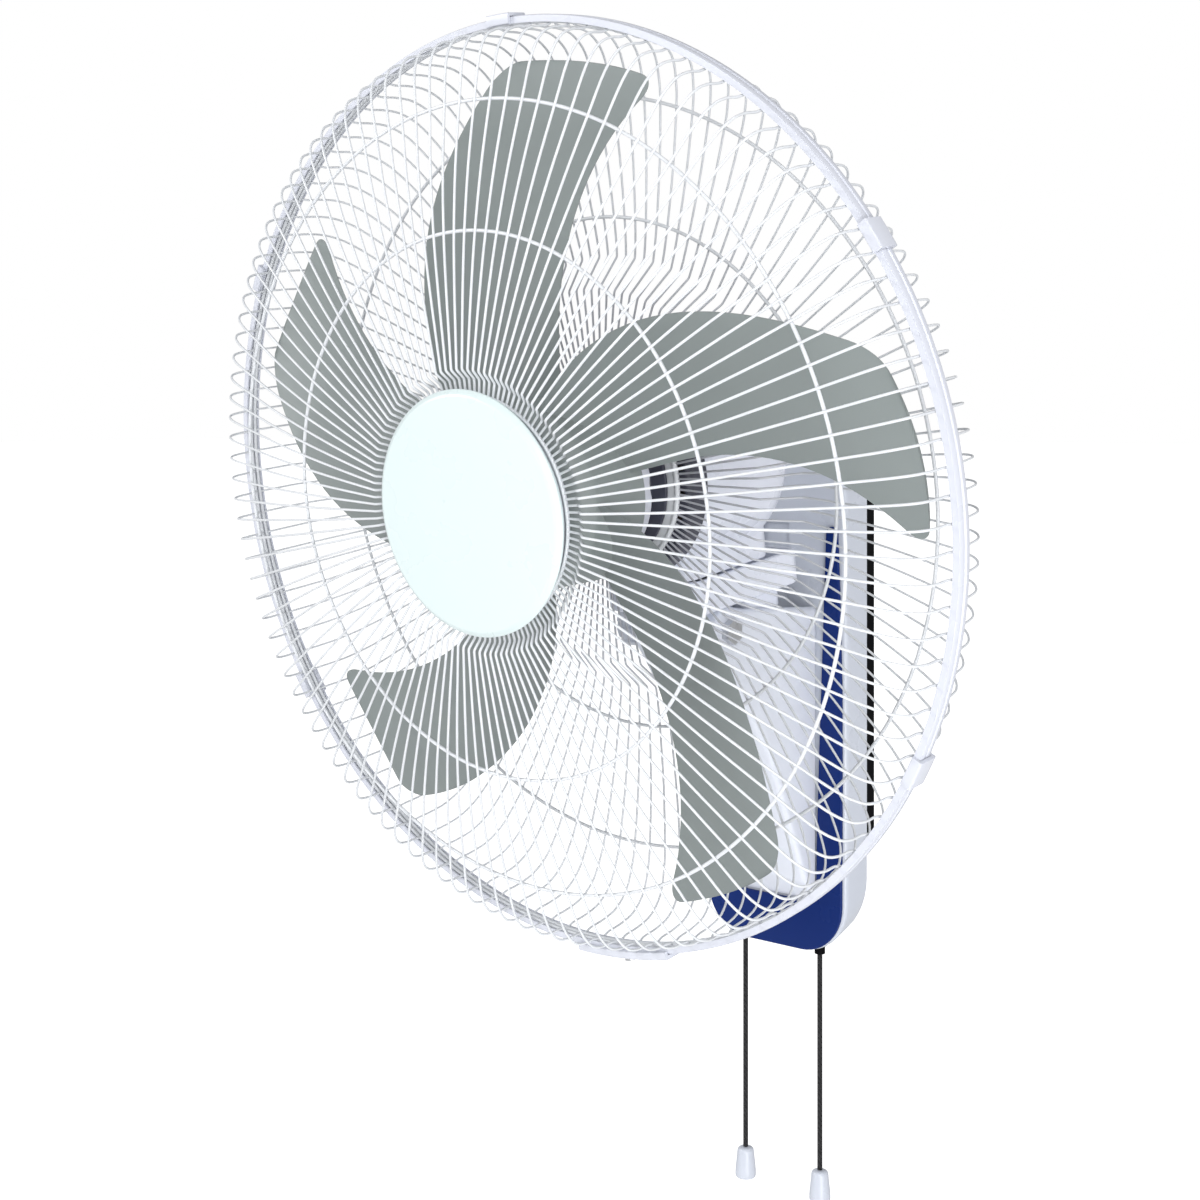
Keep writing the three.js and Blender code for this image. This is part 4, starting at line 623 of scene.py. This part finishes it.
def blade_edges(radius):
    """The leading and trailing edge round the shaft in degrees, and how far each stands to the front."""
    share = np.clip((radius - HUB_RADIUS) / BLADE_LENGTH, 0, 1)
    lead = 11.9 - 17.8 * np.clip((share - 0.2) / 0.8, 0, 1) ** 1.6
    trail = 18.6 + 52 * (1 - share) ** 1.12
    trail_depth = 19 - 17 * np.clip(2 * share - 1, 0, 1) ** 2
    return lead, trail, np.full_like(share, LEAD_DEPTH), trail_depth


def blade():
    """One swept and cambered blade, from inside the hub to its rounded tip."""
    inner = np.linspace(47, BLADE_TIP - TIP_CORNER, 26)
    outer = BLADE_TIP - TIP_CORNER * (1 - np.sin(np.linspace(0, math.pi / 2, 9)[1:]))
    radii = np.concatenate([inner, outer - 1e-3])
    leads, trails, lead_depths, trail_depths = blade_edges(radii)
    past = np.clip((radii - (BLADE_TIP - TIP_CORNER)) / TIP_CORNER, 0, 1)
    inset = np.degrees(TIP_CORNER * (1 - np.sqrt(1 - past**2)) / radii)
    share = (1 - np.cos(np.linspace(0, math.pi, CHORD_STEPS + 1))) / 2
    thick = np.sqrt(np.clip(4 * share * (1 - share), 0.04, 1))
    loops = []
    rows = zip(radii, leads + inset, trails - inset, lead_depths, trail_depths)
    for radius, lead, trail, near, far in rows:
        angle = np.radians(lead + (trail - lead) * share)
        depth = near + (far - near) * share - 4 * CAMBER * share * (1 - share)
        front = np.stack([radius * np.cos(angle), -depth - thick, radius * np.sin(angle)], 1)
        rear = np.stack([radius * np.cos(angle), -depth + thick, radius * np.sin(angle)], 1)
        loops.append(np.concatenate([front, rear[::-1]]))
    count = len(loops[0])
    faces = grid_faces(len(loops), count, False, True)
    last = (len(loops) - 1) * count
    for start in (0, last):
        faces += [(start + i, start + i + 1, start + count - 2 - i, start + count - 1 - i)
                  for i in range(CHORD_STEPS)]
    return np.concatenate(loops), faces


def make_impeller():
    points, faces = blade()
    blades = [(spun(points, 360 * i / BLADES), faces) for i in range(BLADES)]
    hub = filleted([(0, -30), (28, -29.8), (43, -26.5), (47.5, -19), (HUB_RADIUS, 16), (47.5, 16), (45, -17),
                    (40, -24), (0, -27)], (10, 10, 6, 0.6, 0.6, 4, 4), 5)
    parts = blades + [turned(hub, 128)]
    piece = make_mesh("impeller_swept", *merged(parts), head_place)
    finish_piece(piece, BLADE_GREY, "rotor", ["impeller"])


# ---------------------------------------------------------------- motor

COLLAR_RADIUS = 28
NUT_RADIUS = 45
GRIPS = 8  # scoops round the guard nut and round the tilt knob


def make_guard_nut():
    """A scooped white grip flange on a dark spool that clamps the guard's plate."""
    inner, waist = COLLAR_RADIUS + 0.4, NUT_RADIUS - 9
    flange = filleted([(waist - 2, 22), (NUT_RADIUS - 3, 22), (NUT_RADIUS - 3, 20), (NUT_RADIUS, 20),
                       (NUT_RADIUS, 27.6), (waist - 2, 28.2), (waist - 2, 22)],
                      (0.4, 0.8, 0.8, 1.2, 0.3), 3)[:-1]
    points, faces = turned(flange, 240, closed=True)
    points = np.array(points)
    radius = np.hypot(points[:, 0], points[:, 2])
    turn = np.arctan2(points[:, 2], points[:, 0])
    grip = radius > NUT_RADIUS - 1.5
    scale = np.where(grip, 1 - 1.1 * np.clip(np.cos(turn * GRIPS) * 2 - 1, 0, 1) / radius, 1)
    points[:, 0] *= scale
    points[:, 2] *= scale
    nut = make_mesh("guard_nut_flange", points, faces, head_place)
    finish_piece(nut, RIM_WHITE, "head", ["guard_nut"])
    body = filleted([(inner, 22.6), (waist - 2.2, 22.6), (waist - 2.2, 28.4), (waist, 28.6), (waist, 37),
                     (NUT_RADIUS, 38.4), (NUT_RADIUS, 40.2), (inner, 40.2), (inner, 22.6)],
                    (0.3, 0.2, 0.6, 1.5, 0.5, 0.4, 0.3), 3)[:-1]
    spool = make_mesh("guard_nut_body", *turned(body, 160, closed=True), head_place)
    finish_piece(spool, MOTOR_GREY, "head")


MOTOR_RADIUS = 57
MOTOR_WALL = 2.4
MOTOR_FRONT = 43
MOTOR_SPLIT = 58
MOTOR_REAR = 150
MOTOR_BORE = 11.4
REAR_ROUND = 32
SWING_AXIS = 100


def arc(cx, cz, radius, start, end, steps=8):
    angles = np.radians(np.linspace(start, end, steps + 1))
    return [(cx + radius * math.cos(a), cz + radius * math.sin(a)) for a in angles]


def radial_slots(count, r0, r1, y0, y1, width):
    """Boxes that stand round the head's axis like spokes."""
    points, faces = block(r0, r1, y0, y1, -width / 2, width / 2)
    return [(spun(points, 360 * (i + 0.5) / count), faces) for i in range(count)]


def make_front_cover_of_motor():
    """A dark cup with slots round its front edge and a collar for the guard nut."""
    inside, within = MOTOR_FRONT + MOTOR_WALL, MOTOR_RADIUS - MOTOR_WALL
    profile = [(MOTOR_BORE, 21), (COLLAR_RADIUS, 21), (COLLAR_RADIUS, MOTOR_FRONT)]
    profile += arc(MOTOR_RADIUS - 4, MOTOR_FRONT + 4, 4, -90, 0, 5) + [(MOTOR_RADIUS, MOTOR_SPLIT)]
    profile += [(within, MOTOR_SPLIT), (within, inside + 2), (within - 2, inside), (MOTOR_BORE, inside)]
    cover = make_mesh("motor_front_cover_slotted", *turned(profile, 120, closed=True), head_place)
    slots = radial_slots(24, MOTOR_RADIUS - 10, MOTOR_RADIUS - 3.2, MOTOR_FRONT - 1, inside + 1, 3)
    carved(cover, slots, head_place)
    finish_piece(cover, MOTOR_GREY, "head", ["motor_front_cover"])


def housing_profile(inset):
    """Half of the round housing's outline, from its front edge to the axis."""
    centre = (MOTOR_RADIUS - REAR_ROUND, MOTOR_REAR - REAR_ROUND)
    return [(MOTOR_RADIUS - inset, MOTOR_SPLIT + 0.3), *arc(*centre, REAR_ROUND - inset, 0, 90, 12),
            (0, MOTOR_REAR - inset)]


def make_motor_housing():
    """A round housing with slots in its back, and the foot under it that stands over the swing drive."""
    profile = housing_profile(MOTOR_WALL)[::-1] + housing_profile(0)
    housing = make_mesh("motor_housing_round", *turned(profile, 160), head_place)
    hole = tube([(0, SWING_AXIS, -80), (0, SWING_AXIS, -40)], 13.2, 48)
    slots = radial_slots(8, MOTOR_RADIUS - 19, MOTOR_RADIUS - 4, MOTOR_REAR - 20, MOTOR_REAR, 3)
    carved(housing, slots + [hole], head_place)
    finish_piece(housing, SHELL_WHITE, "head", ["motor_housing"])
    levels = [(1.5, -58.2), (0.4, -57.9), (0, -57), (0, -40), (6, -36)]
    foot = stacked(plan_outline((-34, 36), (MOTOR_SPLIT + 1, 138), 10), levels, to_top)
    foot = carved(make_mesh("motor_housing_foot", *foot, head_place), [hole], head_place)
    finish_piece(foot, SHELL_WHITE, "head")


# ---------------------------------------------------------------- neck

PIVOT = (0, -116, 23)
NECK_SIDES = (-28, 38.3)
NECK_ENDS = (62, 163.7)
NECK_ROUND = 12
NECK_WALL = 3
NECK_EDGE = 2.2
TRAY_BOTTOM, TRAY_TOP, NECK_TOP = -78, -75, -59
SKIRT_BOTTOM = -91.3
SKIRT_WALL = 2.4


def plan_outline(sides, ends, round_off):
    """A rounded rectangle in x and y as a function of its inset."""
    centred = rounded_outline((sides[1] - sides[0]) / 2, ends[0], ends[1], round_off, round_off, 8)
    return lambda inset: [(u + (sides[0] + sides[1]) / 2, v) for u, v in centred(inset)]


def make_tub():
    """The tray under the swing drive, with a rounded bottom edge, an open top and two holes in its floor."""
    levels = [(NECK_EDGE + 1.0, TRAY_BOTTOM)]
    levels += [(NECK_EDGE * (1 - math.sin(a)), TRAY_BOTTOM + NECK_EDGE * (1 - math.cos(a)))
               for a in np.linspace(0, math.pi / 2, 6)]
    levels += [(0, NECK_TOP - 0.6), (0.6, NECK_TOP), (NECK_WALL - 0.4, NECK_TOP), (NECK_WALL, NECK_TOP - 0.4),
               (NECK_WALL, TRAY_TOP)]
    tub = stacked(plan_outline(NECK_SIDES, NECK_ENDS, NECK_ROUND), levels, to_top)
    tub = make_mesh("neck_tub", *tub, head_place)
    pin_hole = tube([(0, SWING_AXIS, -81), (0, SWING_AXIS, -70)], 5.3, 32)
    spindle_hole = tube([(8.6, 140, -81), (8.6, 140, -70)], 4.8, 32)
    carved(tub, [pin_hole, spindle_hole], head_place)
    finish_piece(tub, SHELL_WHITE, "neck", ["neck_bracket"])


def make_skirt():
    """A thin wall round the swing motor, under the tray: down its outside and up its inside."""
    foot = SKIRT_BOTTOM
    levels = [(0, TRAY_BOTTOM - 0.02), (0, foot + 1), (0.4, foot + 0.3), (1.0, foot), (1.4, foot),
              (2.0, foot + 0.3), (SKIRT_WALL, foot + 1), (SKIRT_WALL, TRAY_BOTTOM - 0.02)]
    points, faces = stacked(plan_outline((-26.6, 26.6), (122.6, 157.4), 8), levels, to_top)
    count = len(points) // len(levels)
    last = (len(levels) - 1) * count
    faces = faces[:-2] + [(last + i, last + (i + 1) % count, (i + 1) % count, i) for i in range(count)]
    finish_piece(make_mesh("neck_skirt", points, faces, head_place), SHELL_WHITE, "neck")


def make_neck():
    make_tub()
    make_skirt()
    points, faces = turned([(0, -16.4), (10.8, -16.4), (12, -15.2), (12, 15.2), (10.8, 16.4), (0, 16.4)], 64)
    along_x = [(y, PIVOT[1] + r, PIVOT[2] + z) for r, y, z in points]
    finish_piece(make_mesh("neck_barrel", along_x, faces, base_place), SHELL_WHITE, "neck")
    post = plan_outline((-12.5, 12.5), (91, 112), 3)
    column = stacked(post, [(0, -93), (0, TRAY_BOTTOM - 0.02)], to_top)
    finish_piece(make_mesh("neck_column", *column, head_place), SHELL_WHITE, "neck")


def make_tilt_knob():
    """A scooped knob on the left end of the tilt bolt."""
    inner, length, radius = -30.3, 12, 13
    profile = [(4.5, 0), (radius - 1.5, 0), (radius, 1.2), (radius, length - 2.5),
               (radius - 1.6, length - 0.8), (radius - 3.5, length), (0, length - 0.6)]
    points, faces = turned([(0, 0), *profile], 160)
    points = np.array(points)
    turn = np.arctan2(points[:, 2], points[:, 0])
    scoop = 1.1 * np.clip(np.cos(turn * GRIPS) * 2 - 0.6, 0, 1)
    radius_now = np.maximum(np.hypot(points[:, 0], points[:, 2]), 1e-6)
    scale = np.where(radius_now > radius - 2, (radius_now - scoop) / radius_now, 1)
    across, up = points[:, 0] * scale, points[:, 2] * scale
    placed = np.stack([inner - points[:, 1], PIVOT[1] + across, PIVOT[2] + up], 1)
    knob = make_mesh("tilt_knob_scooped", placed, faces, base_place)
    finish_piece(knob, BASE_WHITE_SHADED, "tilt_knob", ["tilt_knob"])


# ---------------------------------------------------------------- base

BASE_HALF = 50
BASE_BOTTOM, BASE_TOP = -172, 118
SHELL_BACK, SHELL_FRONT = -9.3, -31.0
SHELL_WALL = 2.4
SHELL_EDGE = 3.2
SHELL_OPENING = 40  # how far the opening in its front lies inside the outline
FOOT_ROUND, HEAD_ROUND = 30, 26


def make_back_shell():
    """A flat body with a shallow opening in its front, whose foot grows rounder towards the back."""
    levels = [(SHELL_WALL, SHELL_BACK), (0, SHELL_BACK)]
    levels += [(SHELL_EDGE * (1 - math.cos(a)), SHELL_FRONT + SHELL_EDGE * (1 - math.sin(a)))
               for a in np.linspace(0, math.pi / 2, 7)]
    levels += [(SHELL_OPENING, SHELL_FRONT), (SHELL_OPENING, SHELL_FRONT + SHELL_WALL),
               (SHELL_WALL, SHELL_FRONT + SHELL_WALL)]

    def outline(level):
        inset, depth = level
        corner = FOOT_ROUND + 13 * (depth - SHELL_FRONT) / (SHELL_BACK - SHELL_FRONT)
        return rounded_outline(BASE_HALF, BASE_BOTTOM, BASE_TOP, corner, HEAD_ROUND, 12)(inset)

    levels = [((inset, depth), depth) for inset, depth in levels]
    shell = make_mesh("back_shell_round", *stacked(outline, levels, to_front), base_place)
    finish_piece(shell, BASE_WHITE_SHADED, "base", ["back_shell"])


COVER_HALF = 30
COVER_WALL = 2.4
COVER_EDGE = 3.0
FORK_HALF = 16.8
TRIM_BACK = -31.3
EAR_RADIUS = 14


def inset_path(points, inset):
    """A closed path drawn inwards, each point along the bisector of its two sides."""
    points = np.asarray(points, float)
    ahead = np.roll(points, -1, 0) - points
    ahead /= np.linalg.norm(ahead, axis=1)[:, None]
    behind = np.roll(ahead, 1, 0)
    normals = np.stack([-ahead[:, 1], ahead[:, 0]], 1) + np.stack([-behind[:, 1], behind[:, 0]], 1)
    area = np.sum(points[:, 0] * np.roll(points[:, 1], -1) - np.roll(points[:, 0], -1) * points[:, 1])
    normals *= math.copysign(2, area) / np.sum(normals**2, 1)[:, None]
    return points + inset * normals


def cover_side():
    """Side outline of the sloping cover in y and z: chin, slope, neck and the ear round the tilt bolt."""
    ear = arc(PIVOT[1], PIVOT[2], EAR_RADIUS, 216, 70, 16)
    corners = [(TRIM_BACK, -141), (-43, -128), (-78, -51), ear[0]]
    lower = filleted(corners, (5, 30), 6)[:-1]
    return [*map(tuple, lower), *ear, (-104, 34.5), (TRIM_BACK, 30)]


def make_front_cover():
    """The sloping cover, hollow from behind and forked round the neck, with an ear on each side."""
    side = cover_side()
    near = [(COVER_EDGE * (1 - math.sin(a)), -COVER_HALF + COVER_EDGE * (1 - math.cos(a)))
            for a in np.linspace(0, math.pi / 2, 6)]
    levels = near + [(inset, -depth) for inset, depth in near[::-1]]
    body = stacked(lambda inset: inset_path(side, inset), levels, to_side)
    body = make_mesh("front_cover_rounded", *body, base_place)
    inner_half = COVER_HALF - COVER_WALL
    hollow = inset_path(side, COVER_WALL)
    hollow[0, 0] = hollow[-1, 0] = TRIM_BACK + 10
    hollow = [tuple(point) for point in hollow]
    inner = stacked(lambda inset: hollow, [(0, -inner_half), (0, inner_half)], to_side)
    carved(body, [inner], base_place)
    carved(body, [block(-inner_half, inner_half, -101, 5, -6, 80)], base_place)
    ears = []
    for sign in (-1, 1):
        ends = [(sign * FORK_HALF, *PIVOT[1:]), (sign * (inner_half + 0.5), *PIVOT[1:])]
        ears.append(tube(ends, EAR_RADIUS - 1, 48))
    carved(body, [block(-FORK_HALF, FORK_HALF, -150, -100, 14, 80)], base_place)
    finish_piece(body, COVER_WHITE_LIT, "base", ["front_cover"])
    ears = make_mesh("front_cover_ears", *merged(ears), base_place)
    finish_piece(ears, COVER_WHITE_LIT, "base")


PLATE_HALF, PLATE_END = 49.4, 108
KEYHOLES = [(x, z) for x in (-30.6, 30.6) for z in (-86.4, 86.4)]


def make_wall_plate():
    """A flanged plate with four keyholes."""
    outline = rounded_outline(PLATE_HALF, -PLATE_END, PLATE_END, 8, 8, 8)
    levels = [(0.6, 0), (0, -0.6), (0, -8.2), (0.8, -9), (2.5, -9), (2.5, -2.5)]
    plate = make_mesh("wall_plate_flanged", *stacked(outline, levels, to_front), base_place)
    carved(plate, [tube([(x, -4, z), (x, 1, z)], 4, 32) for x, z in KEYHOLES], base_place)
    carved(plate, [block(x - 2, x + 2, -4, 1, z + 2, z + 8.8) for x, z in KEYHOLES], base_place)
    finish_piece(plate, PLATE_BLACK, "base", ["wall_plate"])


TRIM_LEVEL = SHELL_FRONT - 0.3 - 1.1  # the middle of its thickness
TRIM_EDGE = 0.7


def make_trim():
    """A blue U whose legs lean inwards and narrow towards the top."""
    bottom, chin, top = -171, -142, 77
    right = arc(48 - 28, bottom + 28, 28, -90, 0, 12) + [(48.3, -80), (48.2, -20), (47, 30)]
    right += arc(41.4, top - 3.9, 3.9, 0, 180, 12) + [(32.6, -56), (30.9, -112)]
    right += arc(30.7 - 12, chin + 12, 12, 0, -90, 8)
    outline = right + [(-x, z) for x, z in right[::-1]]
    flat = bpy.data.curves.new("trim_outline", "CURVE")
    flat.dimensions = "2D"
    flat.fill_mode = "BOTH"
    flat.extrude = 0.4 * MM
    flat.bevel_depth = TRIM_EDGE * MM
    flat.bevel_resolution = 3
    flat.offset = -TRIM_EDGE * MM
    spline = flat.splines.new("POLY")
    spline.points.add(len(outline) - 1)
    for point, (u, v) in zip(spline.points, outline):
        point.co = (u * MM, v * MM, 0, 1)
    spline.use_cyclic_u = True
    drawn = add_object("trim_outline", flat)
    mesh = evaluated_mesh(drawn)
    bpy.data.objects.remove(drawn)
    for vertex in mesh.vertices:
        x, z, y = vertex.co
        vertex.co = (x, -y + TRIM_LEVEL * MM, z)
    mesh.name = "trim_u_bevelled"
    weld(mesh)
    mesh.materials.clear()
    shade(mesh, 30)
    finish_piece(add_object("trim_u_bevelled", mesh), TRIM_BLUE, "base", ["trim_u"])


# ---------------------------------------------------------------- pull knobs

KNOB_TOP = -301
KNOB_STEPS = 48


def make_pull_knob(kind, x):
    """A bell on the end of a cord, with a hollow underneath."""
    outside = [(0, 0), (3.0, 0), (4.4, -0.7), (5.0, -2.2), (5.25, -5), (5.7, -9), (6.05, -12.5), (6.2, -15),
               (6.15, -17), (5.6, -18)]
    profile = smooth_path(outside, 3).tolist() + [(4.9, -18), (4.6, -16.5), (0, -15.5)]
    points = []
    for i in range(KNOB_STEPS):
        a = 2 * math.pi * i / KNOB_STEPS
        points += [(x + r * math.cos(a), CORD_REACH + r * math.sin(a), KNOB_TOP + z) for r, z in profile]
    knob = make_mesh(f"{kind}_bell", points, grid_faces(KNOB_STEPS, len(profile), True, False), base_place)
    return finish_piece(knob, BASE_WHITE_SHADED, f"{kind}_pull", [f"{kind}_pull_knob"])


# ---------------------------------------------------------------- floor and light

FLOOR_LEVEL = -1.1
FLOOR_REACH = 60
FLOOR_GLOW = (0.05, 0.8)  # on the fan, and as the camera sees it
DOME_GLOW = (0.54, 1.0)


def make_stage():
    """A pale matt floor, far below the fan."""
    floor = Material("floor_pale", ior=1.3)
    tone = floor.colour(floor.noise(0.6, 3), (0.90, 0.90, 0.90), (0.92, 0.92, 0.92))
    floor.roughness(floor.noise(3, 2), 0.85, 0.95)
    floor.link(tone, floor.shader.inputs["Emission Color"])
    path = floor.add("ShaderNodeLightPath")
    glow = floor.add("ShaderNodeMapRange")
    glow.inputs["To Min"].default_value = FLOOR_GLOW[0]
    glow.inputs["To Max"].default_value = FLOOR_GLOW[1]
    floor.link(path.outputs["Is Camera Ray"], glow.inputs["Value"])
    floor.link(glow.outputs["Result"], floor.shader.inputs["Emission Strength"])
    mesh = bpy.data.meshes.new("floor")
    signs = ((-1, -1), (1, -1), (1, 1), (-1, 1))
    corners = [(x * FLOOR_REACH, y * FLOOR_REACH, FLOOR_LEVEL) for x, y in signs]
    mesh.from_pydata(corners, [], [(0, 1, 2, 3)])
    mesh.materials.append(floor.data)
    plane = add_object("floor", mesh)


def area_light(name, place, target, size, power):
    data = bpy.data.lights.new(name, "AREA")
    data.shape = "DISK"
    data.size = size
    data.energy = power
    light = add_object(name, data)
    light.location = place
    light.rotation_euler = (Vector(target) - Vector(place)).to_track_quat("-Z", "Y").to_euler()


def make_light():
    """A white backdrop, a softer dome round the fan and three large lamps."""
    world = bpy.data.worlds.new("studio")
    world.use_nodes = True
    nodes, links = world.node_tree.nodes, world.node_tree.links
    nodes["Background"].inputs["Color"].default_value = (1.0, 1.0, 1.0, 1)
    path = nodes.new("ShaderNodeLightPath")
    level = nodes.new("ShaderNodeMapRange")
    level.inputs["To Min"].default_value = DOME_GLOW[0]
    level.inputs["To Max"].default_value = DOME_GLOW[1]
    links.new(path.outputs["Is Camera Ray"], level.inputs["Value"])
    links.new(level.outputs["Result"], nodes["Background"].inputs["Strength"])
    bpy.context.scene.world = world
    area_light("left", (-1.6, -1.6, 0.9), (0, -0.2, 0.1), 0.7, 25)
    area_light("right", (1.4, -1.8, 0.7), (0, -0.1, 0.05), 1.4, 23)
    area_light("side", (1.5, -1.1, -0.5), (0, -0.06, 0.05), 1.0, 17)
    bpy.context.scene.view_settings.view_transform = "Standard"


# ---------------------------------------------------------------- the whole


make_camera()
dress_nodes()
for kind, across in (("speed", CORD_SPACING / 2), ("swing", -CORD_SPACING / 2)):
    make_cord(kind, across, make_pull_knob(kind, across))
make_guards()
make_rim()
make_clips()
make_badge()
make_impeller()
make_guard_nut()
make_front_cover_of_motor()
make_motor_housing()
make_neck()
make_tilt_knob()
make_back_shell()
make_front_cover()
make_wall_plate()
make_trim()
make_stage()
make_light()

bpy.context.view_layer.update()
